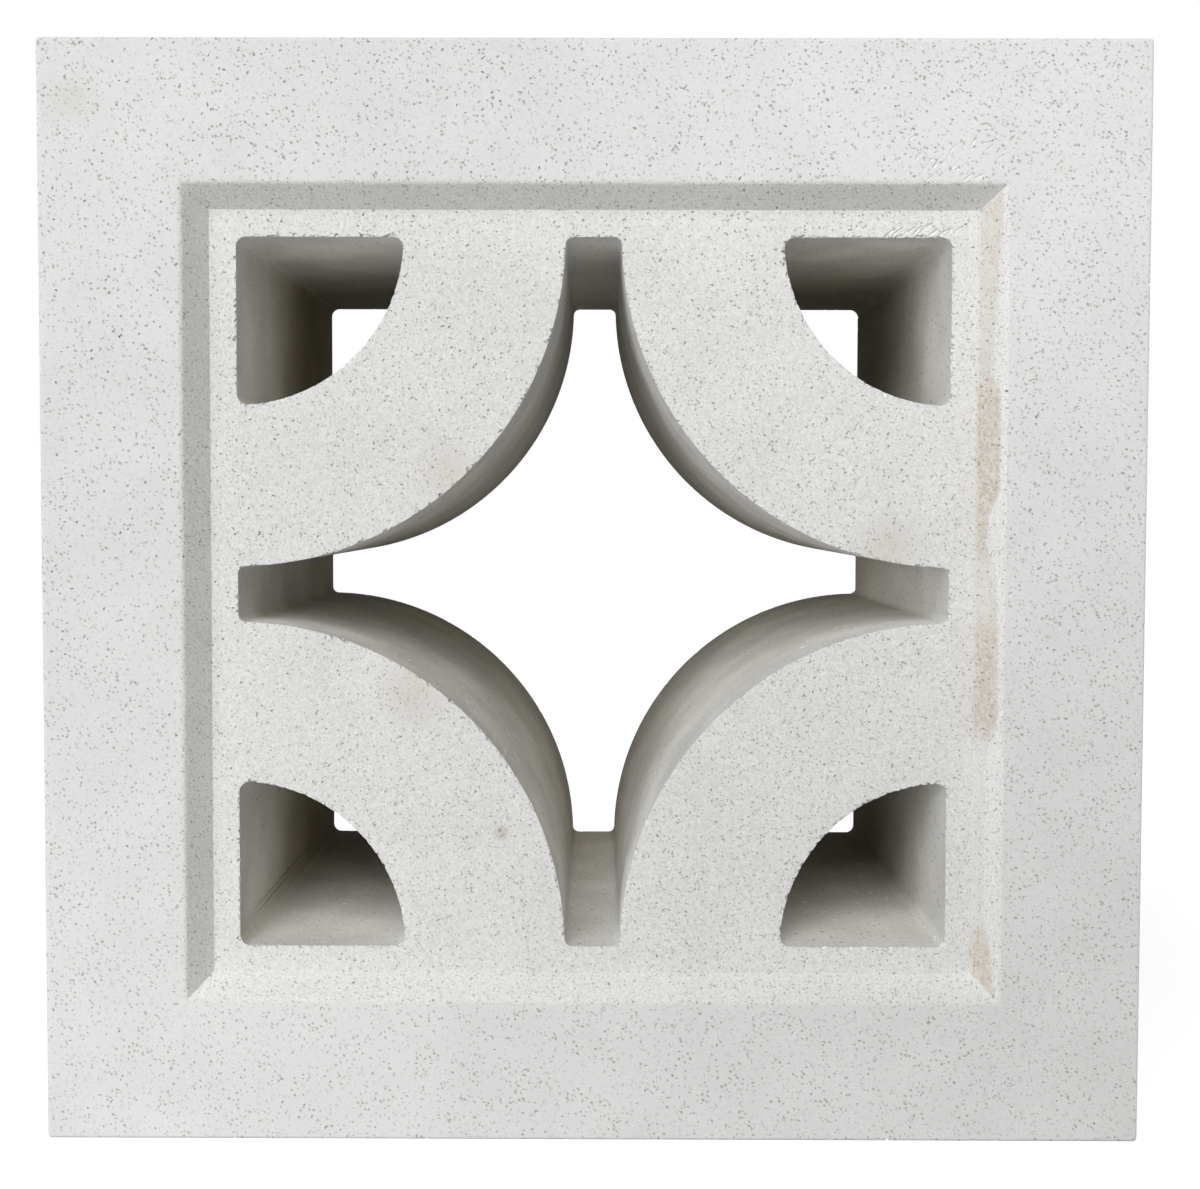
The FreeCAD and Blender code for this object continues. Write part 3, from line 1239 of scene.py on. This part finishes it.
    def sanded(self, ground: Ground, colour: NodeSocket, tint: NodeSocket) -> NodeSocket:
        """Lay the clinging sand over a colour.

        Args:
            ground: What is known of the point.
            colour: The colour to cover.
            tint: Each grain's own tint, from 0 to 1.

        Returns:
            The colour with the sand on it.
        """
        wiring, form, sand = ground.wiring, ground.form, self.sand
        across, _, up = wiring.parts(ground.bent)
        height = 2 * form.half / MM
        foot, lip = form.floor / MM, form.mouth / MM - sand.lip
        ramp = wiring.node("ShaderNodeValToRGB", {"Fac": wiring.math("DIVIDE", up, height)})
        sand.fill(ramp.color_ramp, height)
        strength, reach, _ = wiring.parts(ramp.outputs["Color"])
        slope = wiring.math("DIVIDE", wiring.minus(across, foot), lip - foot)
        clinging = wiring.fade(slope, *sand.foot, 0.0, 1.0 - sand.spilt)
        clinging = wiring.plus(clinging, wiring.fade(slope, *sand.spill, 0.0, sand.spilt))
        below = wiring.fade(wiring.minus(slope, reach), sand.ragged, -sand.ragged)
        away = wiring.math("ABSOLUTE", wiring.minus(up, form.middle / MM))
        mitred = wiring.fade(wiring.minus(across, away), *sand.mitre)
        grains = wiring.plus(wiring.times(tint, sand.tinted), ground.grain)
        grains = wiring.fade(grains, *sand.grains, sand.bare, 1.0)
        share = wiring.times(clinging, below, mitred, grains, ground.recess, strength)
        return wiring.mix(share, colour, opaque(sand.tone))

    def stained_and_shaded(self, ground: Ground, colour: NodeSocket) -> NodeSocket:
        """Lay the discoloured places and the patches of painted shade over a colour.

        Args:
            ground: What is known of the point.
            colour: The colour to cover.

        Returns:
            The colour with the discoloured places and painted shade.
        """
        wiring = ground.wiring
        grains = wiring.fade(ground.grain, *self.blot_noise, self.bare, 1.0)
        for blot in self.stains_and_shade:
            across, depth, up = blot.centre
            spot = wiring.group(
                ground.effects.spot,
                Position=ground.bent,
                Centre=(across, ground.form.front / MM + depth, up),
                Reach=blot.reach,
                Strength=blot.strength,
            )["Value"]
            colour = wiring.mix(wiring.times(spot, grains), colour, opaque(blot.tone))
        return colour


class Chart(Enum):
    """The ways in which a surface is laid flat on the bake sheet."""

    FACE = "seen along Y"
    UPRIGHT = "seen along X"
    LEVEL = "seen along Z"
    ARC = "unrolled about a corner of the openings"


@dataclass(frozen=True)
class Island:
    """One surface of the block laid flat.

    Args:
        name: The surface's name.
        chart: How it is laid flat.
        size: Width and height on the sheet, in metres.
    """

    name: str
    chart: Chart
    size: Place


@dataclass
class Shelf:
    """A row on the bake sheet, which takes islands side by side and on top of the last one.

    Args:
        bottom: Its lower edge.
        height: Its height.
        right: Right end of what stands on it.
        column: Width of the last column.
        used: Height of the last column.
    """

    bottom: float
    height: float
    right: float = 0.0
    column: float = 0.0
    used: float = 0.0

    def take(self, wide: float, tall: float, side: float) -> Optional[Place]:
        """Set one more island on the shelf.

        Args:
            wide: The island's width with its gap.
            tall: Its height with its gap.
            side: Width of the sheet.

        Returns:
            The island's lower left corner, or None if there is no room.
        """
        if self.column >= wide and self.used + tall <= self.height:
            corner = (self.right - self.column, self.bottom + self.used)
            self.used += tall
            return corner
        if self.right + wide > side or tall > self.height:
            return None
        corner = (self.right, self.bottom)
        self.right, self.column, self.used = self.right + wide, wide, tall
        return corner


@dataclass
class BakeSheet:
    """A map with few large islands, in which each pit lies in the surface that it is cut from.

    Args:
        form: The block's planes and half widths.
        gap: Space between islands, in metres.
        tip: How near the edge of the opening square a flat wall lies, in metres.
        slack: How far past the width of a slot its end wall may seem to lie, in metres.
        growth: Factor by which the sheet grows until the islands fit.
        islands: The islands by their names.
        corners: Their lower left corners on the sheet.
        side: Width of the sheet, in metres.
    """

    form: BlockForm
    gap: float = 2.5 * MM
    tip: float = 2.2 * MM
    slack: float = 1.0 * MM
    growth: float = 1.005
    islands: dict[str, Island] = field(default_factory=dict)
    corners: dict[str, Place] = field(default_factory=dict)
    side: float = 1.0

    def island_of(self, centre: Vector, normal: Vector) -> Island:
        """Name the island of a face of the uncut block.

        Args:
            centre: The face's centre.
            normal: The face's normal.

        Returns:
            The island, which is new or already listed.
        """
        form = self.form
        x, z = centre.x, centre.z - form.middle
        signs = (1 if x >= 0 else -1, 1 if z >= 0 else -1)
        deep = form.back - form.front
        skin = form.skin(centre, normal)
        if skin not in (Skin.SIDE, Skin.WALL):
            name = "back" if skin is Skin.BACK else "front"
            return self.listed(name, Chart.FACE, (1, 1), (2 * form.half, 2 * form.half))
        upright = abs(normal.x) > abs(normal.z)
        chart = Chart.UPRIGHT if upright else Chart.LEVEL
        if skin is Skin.SIDE:
            own = (signs[0], 1) if upright else (1, signs[1])
            return self.listed("side_" + chart.name, chart, own, (deep, 2 * form.half))
        edge, other = (abs(x), z) if upright else (abs(z), x)
        if edge > form.opening - self.tip and max(abs(normal.x), abs(normal.z)) > FACING_SIDE:
            slot = form.opening - form.ring_outer
            if abs(other) < slot + self.slack:
                own = (signs[0], 0) if upright else (0, signs[1])
                return self.listed("slot_" + chart.name, chart, own, (deep, 2 * slot))
            return self.listed("pocket_" + chart.name, chart, signs, (deep, form.ring_inner))
        kind, radius = ("star", form.ring_outer) if form.in_star(centre) else ("quarter", form.ring_inner)
        return self.listed(kind, Chart.ARC, signs, (deep, radius * math.pi / 2))

    def listed(self, kind: str, chart: Chart, signs: tuple[int, int], size: Place) -> Island:
        """Return the island of that kind on that side of the middle, and list it if it is new."""
        name = "%s_%d_%d" % (kind, *signs)
        return self.islands.setdefault(name, Island(name, chart, size))

    def flat(self, island: Island, spot: Vector) -> Place:
        """Lay a point of a surface flat.

        Args:
            island: The surface.
            spot: The point.

        Returns:
            Its place on the island, in metres from the island's corner.
        """
        form = self.form
        x, z = spot.x, spot.z - form.middle
        deep = spot.y - form.front
        if island.chart is Chart.FACE:
            return (x + form.half, z + form.half)
        if island.chart is Chart.ARC:
            turn = math.atan2(form.opening - abs(z), form.opening - abs(x))
            return (deep, turn * 2 / math.pi * island.size[1])
        along = z if island.chart is Chart.UPRIGHT else x
        if island.name.startswith("pocket"):
            return (deep, form.opening - abs(along))
        return (deep, along + island.size[1] / 2)

    def pack(self) -> None:
        """Set the islands out in rows on a square sheet, tallest first."""
        rows = sorted(self.islands.values(), key=lambda each: (-each.size[1], -each.size[0], each.name))
        room = [(each.size[0] + self.gap) * (each.size[1] + self.gap) for each in rows]
        self.side = math.sqrt(sum(room))
        while not self.laid(rows):
            self.side *= self.growth

    def laid(self, rows: list[Island]) -> bool:
        """Try to set the islands out on the sheet.

        Args:
            rows: The islands, tallest first.

        Returns:
            Whether they fit.
        """
        shelves: list[Shelf] = []
        top = 0.0
        for island in rows:
            wide, tall = island.size[0] + self.gap, island.size[1] + self.gap
            tries = (shelf.take(wide, tall, self.side) for shelf in shelves)
            corner = next((found for found in tries if found is not None), None)
            if corner is None:
                shelves.append(Shelf(top, tall))
                corner = shelves[-1].take(wide, tall, self.side)
                top += tall
            if corner is None or top > self.side:
                return False
            self.corners[island.name] = (corner[0] + self.gap / 2, corner[1] + self.gap / 2)
        return True

    def lay(self, mesh: Mesh, uncut: BMesh, parents: list[int]) -> None:
        """Give the cut block its map.

        Args:
            mesh: The cut block.
            uncut: The block before it was cut.
            parents: For each face of the cut block, the number of the uncut face that it lies in.
        """
        owners = [self.island_of(face.calc_center_median(), face.normal) for face in uncut.faces]
        self.pack()
        layer = mesh.uv_layers.new(name="OFBake")
        for face, parent in zip(mesh.polygons, parents):
            island = owners[parent]
            corner = self.corners[island.name]
            for loop in face.loop_indices:
                flat = self.flat(island, mesh.vertices[mesh.loops[loop].vertex_index].co)
                layer.data[loop].uv = [(start + part) / self.side for start, part in zip(corner, flat)]


SCUFFS: tuple[Scuff, ...] = (
    Scuff((56.8, 158.1), (12.4, 1.5), 13, length=3.6, width=1.1, depth=0.3, lean=42.0, recessed=True),
    Scuff((61.0, 169.5), (17.0, 8.0), 26, length=2.6, width=0.9, depth=0.17, lean=45.0, recessed=False),
)


@dataclass
class PiercedBlock:
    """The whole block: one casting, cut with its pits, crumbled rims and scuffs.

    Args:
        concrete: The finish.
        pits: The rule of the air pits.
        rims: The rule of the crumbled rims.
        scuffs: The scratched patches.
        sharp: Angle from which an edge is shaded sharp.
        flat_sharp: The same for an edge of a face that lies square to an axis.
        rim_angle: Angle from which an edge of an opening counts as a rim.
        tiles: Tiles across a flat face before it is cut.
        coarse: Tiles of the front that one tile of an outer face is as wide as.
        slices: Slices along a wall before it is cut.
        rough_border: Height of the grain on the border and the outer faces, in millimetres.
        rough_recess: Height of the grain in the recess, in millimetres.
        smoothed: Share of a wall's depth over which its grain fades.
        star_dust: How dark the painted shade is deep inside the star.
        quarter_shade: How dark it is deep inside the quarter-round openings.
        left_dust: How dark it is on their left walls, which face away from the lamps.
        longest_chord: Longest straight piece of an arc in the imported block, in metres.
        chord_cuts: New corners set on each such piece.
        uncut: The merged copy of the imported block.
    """

    concrete: CastConcrete = CastConcrete()
    pits: PitRule = field(default_factory=PitRule)
    rims: RimRule = RimRule()
    scuffs: tuple[Scuff, ...] = SCUFFS
    sharp: float = math.radians(28.0)
    flat_sharp: float = math.radians(0.5)
    rim_angle: float = math.radians(80.0)
    tiles: int = 32
    coarse: int = 4
    slices: int = 4
    rough_border: float = 0.03
    rough_recess: float = 0.08
    smoothed: float = 0.4
    star_dust: float = 0.5
    quarter_shade: float = 0.78
    left_dust: float = 1.5
    longest_chord: float = 14.0 * MM
    chord_cuts: int = 1
    uncut: BMesh = field(default_factory=merged_copy)

    def __post_init__(self) -> None:
        """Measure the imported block."""
        self.form = BlockForm.read(self.uncut)
        LOG.info("form in mm: %s", {name: round(value / MM, 2) for name, value in vars(self.form).items()})

    def build(self, effects: EffectGroups) -> bpy.types.Object:
        """Cut the block, map it and dress it.

        Args:
            effects: The shared node groups.

        Returns:
            The finished piece.
        """
        self.dice()
        self.mark()
        mesh = bpy.data.meshes.new("pierced_block")
        self.uncut.to_mesh(mesh)
        piece = bpy.data.objects.new("pierced_block", mesh)
        bpy.context.scene.collection.objects.link(piece)
        concrete = self.concrete.material(self.form, effects)
        SkinCutter(self.form, self.pits, self.rims, self.scuffs, concrete).cut(piece)
        self.shade(piece.data)
        self.uncut.faces.ensure_lookup_table()
        finder = BVHTree.FromBMesh(self.uncut)
        parents = [finder.find_nearest(spot)[2] for spot in self.spots(piece.data)]
        self.note_skins(piece.data, parents)
        BakeSheet(self.form).lay(piece.data, self.uncut, parents)
        self.uncut.free()
        return piece

    @staticmethod
    def spots(mesh: Mesh) -> list[Vector]:
        """Find a place that lies on each face itself, and not in an opening that the face goes round.

        Args:
            mesh: The cut block.

        Returns:
            For each face, the middle of its largest triangle.
        """
        mesh.calc_loop_triangles()
        largest = [0.0] * len(mesh.polygons)
        found = [face.center.copy() for face in mesh.polygons]
        for triangle in mesh.loop_triangles:
            owner = triangle.polygon_index
            if triangle.area > largest[owner]:
                largest[owner] = triangle.area
                found[owner] = sum((mesh.vertices[each].co for each in triangle.vertices), Vector()) / 3
        return found

    def note_skins(self, mesh: Mesh, parents: list[int]) -> None:
        """Note on each face, for the finish, where it lies, how rough it is and how much painted shade it
        takes deep inside.

        Args:
            mesh: The cut block.
            parents: For each of its faces, the number of the uncut face that it lies in.
        """
        form = self.form
        notes = []
        for face in self.uncut.faces:
            centre = face.calc_center_median()
            skin = form.skin(centre, face.normal)
            recess = float(skin in (Skin.FIELD, Skin.SPLAY, Skin.WALL))
            walls = float(skin is Skin.WALL)
            sunk = (centre.y - form.field) / (form.back - form.field)
            rough = self.rough_recess if recess else self.rough_border
            rough *= 1.0 - walls * min(1.0, sunk / self.smoothed)
            # Painted shade deep inside the openings: strongest on the left walls, which face away from the
            # lamps, weakest in the wide star.
            dust = self.left_dust if face.normal.x > FACING_SIDE else self.quarter_shade
            if form.in_star(centre):
                dust = self.star_dust
            notes.append((recess, walls, rough, dust))
        for number, name in enumerate(("recess", "walls", "rough", "dust")):
            layer = mesh.attributes.new(name, "FLOAT", "FACE")
            layer.data.foreach_set("value", [notes[parent][number] for parent in parents])

    def dice(self) -> None:
        """Cut the flat faces into tiles and the walls into slices, so that each face takes few pits."""
        uncut, form = self.uncut, self.form
        flat, near = math.radians(0.1), 0.002 * MM
        bmesh.ops.dissolve_limit(uncut, angle_limit=flat, verts=uncut.verts, edges=uncut.edges)
        self.round_off()
        low = Vector((-form.half, form.field, 0.0))
        high = Vector((form.half, form.back, 2 * form.half))
        for axis, count in ((0, self.tiles), (2, self.tiles), (1, self.slices)):
            normal = Vector([float(each == axis) for each in range(3)])
            for number in range(1, count):
                skins = {face: form.skin(face.calc_center_median(), face.normal) for face in uncut.faces}
                diced = [face for face, skin in skins.items() if self.diced_across(skin, axis, number)]
                edges = {edge for face in diced for edge in face.edges}
                verts = {vert for face in diced for vert in face.verts}
                bmesh.ops.bisect_plane(
                    uncut,
                    geom=[*verts, *edges, *diced],
                    dist=near,
                    plane_co=low.lerp(high, number / count),
                    plane_no=normal,
                )
        LOG.info("diced block: %d faces", len(uncut.faces))

    def diced_across(self, skin: Skin, axis: int, number: int) -> bool:
        """Tell whether a plane cuts a surface; the outer surfaces are cut more coarsely.

        Args:
            skin: The surface.
            axis: Number of the axis that the plane lies across.
            number: The plane's own number along that axis.

        Returns:
            Whether it is cut there.
        """
        if axis == 1:
            return skin in (Skin.WALL, Skin.SIDE)
        if skin in (Skin.SIDE, Skin.BACK):
            return number % self.coarse == 0
        return skin is not Skin.WALL

    def round_off(self) -> None:
        """Split the chords of the quarter rings and set the new corners on the true arcs."""
        uncut, form = self.uncut, self.form
        on_arc, level = 0.02 * MM, 0.01 * MM

        def offset(vert: BMVert) -> Vector:
            """Measure a corner's way from the nearest corner of the opening square.

            Args:
                vert: The corner.

            Returns:
                The way across and up, with no depth.
            """
            spot = vert.co
            side = math.copysign(form.opening, spot.x)
            height = form.middle + math.copysign(form.opening, spot.z - form.middle)
            return Vector((spot.x - side, 0.0, spot.z - height))

        for radius in (form.ring_outer, form.ring_inner):
            chords = [
                edge
                for edge in uncut.edges
                if all(abs(offset(vert).length - radius) < on_arc for vert in edge.verts)
                and abs(edge.verts[0].co.y - edge.verts[1].co.y) < level
                and edge.calc_length() < self.longest_chord
            ]
            split = bmesh.ops.subdivide_edges(
                uncut, edges=chords, cuts=self.chord_cuts, use_grid_fill=True
            )
            for vert in split["geom_inner"]:
                if isinstance(vert, BMVert):
                    away = offset(vert)
                    vert.co += away * (radius / away.length - 1.0)
            LOG.info("arcs of %.1f mm: %d chords split", radius / MM, len(chords))
        uncut.normal_update()

    def mark(self) -> None:
        """Note on the uncut block how thick the pits lie and where the edges crumble."""
        uncut, form, pits, rims = self.uncut, self.form, self.pits, self.rims
        rate = uncut.faces.layers.float.new("pit_rate")
        scale = uncut.faces.layers.float.new("pit_scale")
        crumble = uncut.edges.layers.float.new("crumble")
        skins = {}
        for face in uncut.faces:
            centre = face.calc_center_median()
            skins[face] = form.skin(centre, face.normal)
            drift = pits.drift[0] * centre.x + pits.drift[1] * (centre.z - form.middle)
            face[rate] = pits.rates[skins[face]] / MM**2 * (1.0 + drift / form.half)
            face[scale] = pits.scales[skins[face]]
        for edge in uncut.edges:
            pair = {skins[face] for face in edge.link_faces}
            square = edge.calc_face_angle() > self.rim_angle
            if square and pair == {Skin.FIELD, Skin.WALL}:
                edge[crumble] = rims.front_share
            elif square and pair == {Skin.BACK, Skin.WALL}:
                edge[crumble] = rims.back_share
            elif Skin.SIDE in pair and len(pair) == 2:
                edge[crumble] = rims.arris_share

    def shade(self, mesh: Mesh) -> None:
        """Shade the round walls smooth, and keep flat faces flat and edges sharp.

        Args:
            mesh: The cut block.
        """
        level = 0.99999
        work = bmesh.new()
        work.from_mesh(mesh)
        for face in work.faces:
            face.smooth = True
        for edge in work.edges:
            flat = any(max(map(abs, face.normal)) > level for face in edge.link_faces)
            edge.smooth = edge.calc_face_angle(math.pi) < (self.flat_sharp if flat else self.sharp)
        work.to_mesh(mesh)
        work.free()


class LampKind(Enum):
    """The kinds of lamp in the studio, by the names that Blender gives them."""

    SOFT_BOX = "AREA"
    SPOT = "SPOT"
    PARALLEL = "SUN"


@dataclass(frozen=True)
class Lamp:
    """One lamp and the point that it is aimed at.

    Args:
        name: The lamp's name.
        kind: What kind of lamp it is.
        place: Where it stands, in metres.
        target: The point that it faces, in metres.
        power: Its power in watts, or the strength of a parallel light.
        size: Width of a soft box or radius of a spot, in metres.
        beam: Opening angle of a spot, in degrees.
    """

    name: str
    kind: LampKind
    place: Triple
    target: Triple
    power: float
    size: float = 0.0
    beam: float = 0.0

    def build(self) -> None:
        """Set up the lamp, facing its target."""
        data = bpy.data.lights.new(self.name, self.kind.value)
        data.energy = self.power
        if self.kind is LampKind.SOFT_BOX:
            data.size = self.size
        elif self.kind is LampKind.SPOT:
            data.shadow_soft_size = self.size
            data.spot_size = math.radians(self.beam)
            data.spot_blend = 1.0
        else:
            data.angle = 0.0
        lamp = bpy.data.objects.new(self.name, data)
        lamp.location = self.place
        aim = Vector(self.target) - Vector(self.place)
        lamp.rotation_euler = aim.to_track_quat("-Z", "Y").to_euler()
        bpy.context.scene.collection.objects.link(lamp)


MIDDLE: Triple = (0.0, 0.0, 0.095)
UPPER_RIGHT: Triple = (0.085, -0.045, 0.18)
LOWER_LEFT: Triple = (-0.085, -0.045, 0.01)
LAMPS: tuple[Lamp, ...] = (
    Lamp("front_lamp", LampKind.SOFT_BOX, (-0.18, -1.022, 0.877), MIDDLE, 10.2, size=0.8),
    Lamp("left_lamp", LampKind.SOFT_BOX, (-0.897, -0.937, 0.186), MIDDLE, 7.2, size=0.6),
    Lamp("upper_glow", LampKind.SPOT, (0.25, -0.75, 0.45), UPPER_RIGHT, 3.2, size=0.05, beam=15.0),
    Lamp("lower_glow", LampKind.SPOT, (-0.25, -0.75, 0.06), LOWER_LEFT, 2.2, size=0.05, beam=14.0),
    Lamp("back_light", LampKind.PARALLEL, (0.0, 1.0, 0.095), MIDDLE, 1.2),
    Lamp("end_light", LampKind.PARALLEL, (1.0, 0.0, 0.095), MIDDLE, 1.0),
)


@dataclass
class Studio:
    """Plain pale floor, soft light from the front and a white background.

    The two parallel lights run along the back's and the right end's own normals, so they light those plain
    faces alone and leave the openings dark.

    Args:
        lamps: The lamps.
        sky_left: Colour of the weak surrounding light on the left.
        sky_right: Colour of the weak surrounding light on the right.
        sky_turn: Directions along X between the two.
        sky_front: Directions along Y between no light and full light.
        floor_size: Half width of the floor, in metres.
        rim_reach: Distances from the block between which the floor turns white, in metres.
        rim_shade: How much darker than white the floor is beside the block.
        shadow_tone: How strongly the floor takes the block's shadow.
        bounce: How pale the floor is to the block, behind it and before it.
    """

    lamps: tuple[Lamp, ...] = LAMPS
    sky_left: Colour = (0.05, 0.052, 0.055)
    sky_right: Colour = (0.106, 0.08, 0.027)
    sky_turn: Place = (-0.4, 0.4)
    sky_front: Place = (0.02, -0.15)
    floor_size: float = 6.0
    rim_reach: Place = (0.14, 0.02)
    rim_shade: float = 0.12
    shadow_tone: Colour = (0.3, 0.3, 0.3)
    bounce: Place = (0.03, 0.5)

    def build(self) -> None:
        """Set up the floor, the lamps and the surrounding light."""
        for lamp in self.lamps:
            lamp.build()
        self.build_sky()
        self.build_floor()
        view = bpy.context.scene.view_settings
        view.view_transform = "Standard"

    @staticmethod
    def seen(wiring: Wiring) -> NodeSocket:
        """Tell the camera's rays, also by way of a mirror or glass, from other light.

        Args:
            wiring: The wiring of the tree that asks.

        Returns:
            1 for the camera's rays and 0 for others.
        """
        path = wiring.node("ShaderNodeLightPath").outputs
        shown = wiring.math("MAXIMUM", path["Is Camera Ray"], path["Is Glossy Ray"])
        return wiring.math("MAXIMUM", shown, path["Is Transmission Ray"])

    def build_sky(self) -> None:
        """Make the background white, and the light on the block bright in front and dark behind."""
        world = bpy.data.worlds.new("studio")
        bpy.context.scene.world = world
        wiring = Wiring.emptied(world)
        across, along, _ = wiring.parts(wiring.out("ShaderNodeTexCoord", "Generated"))
        turn = wiring.fade(across, *self.sky_turn)
        tint = wiring.mix(turn, opaque(self.sky_left), opaque(self.sky_right))
        glow = wiring.scaled(tint, wiring.fade(along, *self.sky_front))
        colour = wiring.mix(self.seen(wiring), glow, WHITE)
        sky = wiring.out("ShaderNodeBackground", "Background", {"Color": colour, "Strength": 1.0})
        wiring.node("ShaderNodeOutputWorld", {"Surface": sky})

    def build_floor(self) -> None:
        """Lay the floor: white to the camera apart from a faint shadow, pale grey to the block."""
        reach = self.floor_size
        corners = [(-reach, -reach, 0), (reach, -reach, 0), (reach, reach, 0), (-reach, reach, 0)]
        mesh = bpy.data.meshes.new("floor")
        mesh.from_pydata(corners, [], [(0, 1, 2, 3)])
        floor = bpy.data.objects.new("floor", mesh)
        bpy.context.scene.collection.objects.link(floor)
        made = bpy.data.materials.new("pale_floor")
        wiring = Wiring.emptied(made)
        across, along, _ = wiring.parts(wiring.out("ShaderNodeTexCoord", "Object"))
        beside = wiring.minus(wiring.math("ABSOLUTE", across), CAD_BOX[1][0])
        before = wiring.minus(wiring.math("ABSOLUTE", along), CAD_BOX[1][1])
        near = wiring.fade(wiring.math("MAXIMUM", beside, before), *self.rim_reach)
        white = {"Color": WHITE, "Strength": wiring.minus(1.0, wiring.times(near, self.rim_shade))}
        shown = wiring.out("ShaderNodeAddShader", "Shader", {
            "Shader": wiring.out("ShaderNodeEmission", "Emission", white),
            "Shader_001": wiring.out("ShaderNodeBsdfDiffuse", "BSDF", {"Color": opaque(self.shadow_tone)}),
        })
        pale = wiring.fade(along, 0.0, CAD_BOX[0][1], *self.bounce)
        both = wiring.out("ShaderNodeMixShader", "Shader", {
            "Fac": self.seen(wiring),
            "Shader": wiring.out("ShaderNodeBsdfDiffuse", "BSDF", {"Color": pale}),
            "Shader_001": shown,
        })
        wiring.node("ShaderNodeOutputMaterial", {"Surface": both})
        mesh.materials.append(made)


@dataclass(frozen=True)
class Viewpoint:
    """The camera at the photograph's viewing angle.

    Args:
        place: Where it stands, in metres.
        pitch: Tilt above level, in degrees.
        roll: Turn about the line of sight, in degrees.
        yaw: Turn about the upright, in degrees.
        focal: Focal length in pixels of the picture.
        centre: Pixel where the line of sight meets the picture.
        sensor: Width of the sensor, in millimetres.
        nearest: Nearest distance that is drawn, in metres.
    """

    place: Triple = (0.0007, -0.2787, 0.1099)
    pitch: float = -1.96
    roll: float = -0.13
    yaw: float = 0.18
    focal: float = 1362.0
    centre: Place = (593.0, 556.2)
    sensor: float = 36.0
    nearest: float = 0.01

    def build(self) -> None:
        """Set up the camera."""
        data = bpy.data.cameras.new("camera")
        data.sensor_fit = "HORIZONTAL"
        data.sensor_width = self.sensor
        data.lens = self.focal * self.sensor / PICTURE_WIDTH
        data.shift_x = (PICTURE_WIDTH / 2 - self.centre[0]) / PICTURE_WIDTH
        data.shift_y = (self.centre[1] - PICTURE_HEIGHT / 2) / PICTURE_WIDTH
        data.clip_start = self.nearest
        camera = bpy.data.objects.new("camera", data)
        camera.location = self.place
        level = 90.0
        turns = (level + self.pitch, self.roll, self.yaw)
        camera.rotation_euler = [math.radians(turn) for turn in turns]
        bpy.context.scene.collection.objects.link(camera)
        bpy.context.scene.camera = camera


def main() -> None:
    """Build the block, its studio and the camera."""
    logging.basicConfig(level=logging.INFO, format="%(name)s: %(message)s")
    effects = EffectGroups.build()
    block = PiercedBlock().build(effects)
    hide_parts(NODE)
    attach(block, BODY)
    LOG.info("%s rides on %s", block.name, BODY)
    Studio().build()
    Viewpoint().build()


if __name__ == "__main__":
    main()
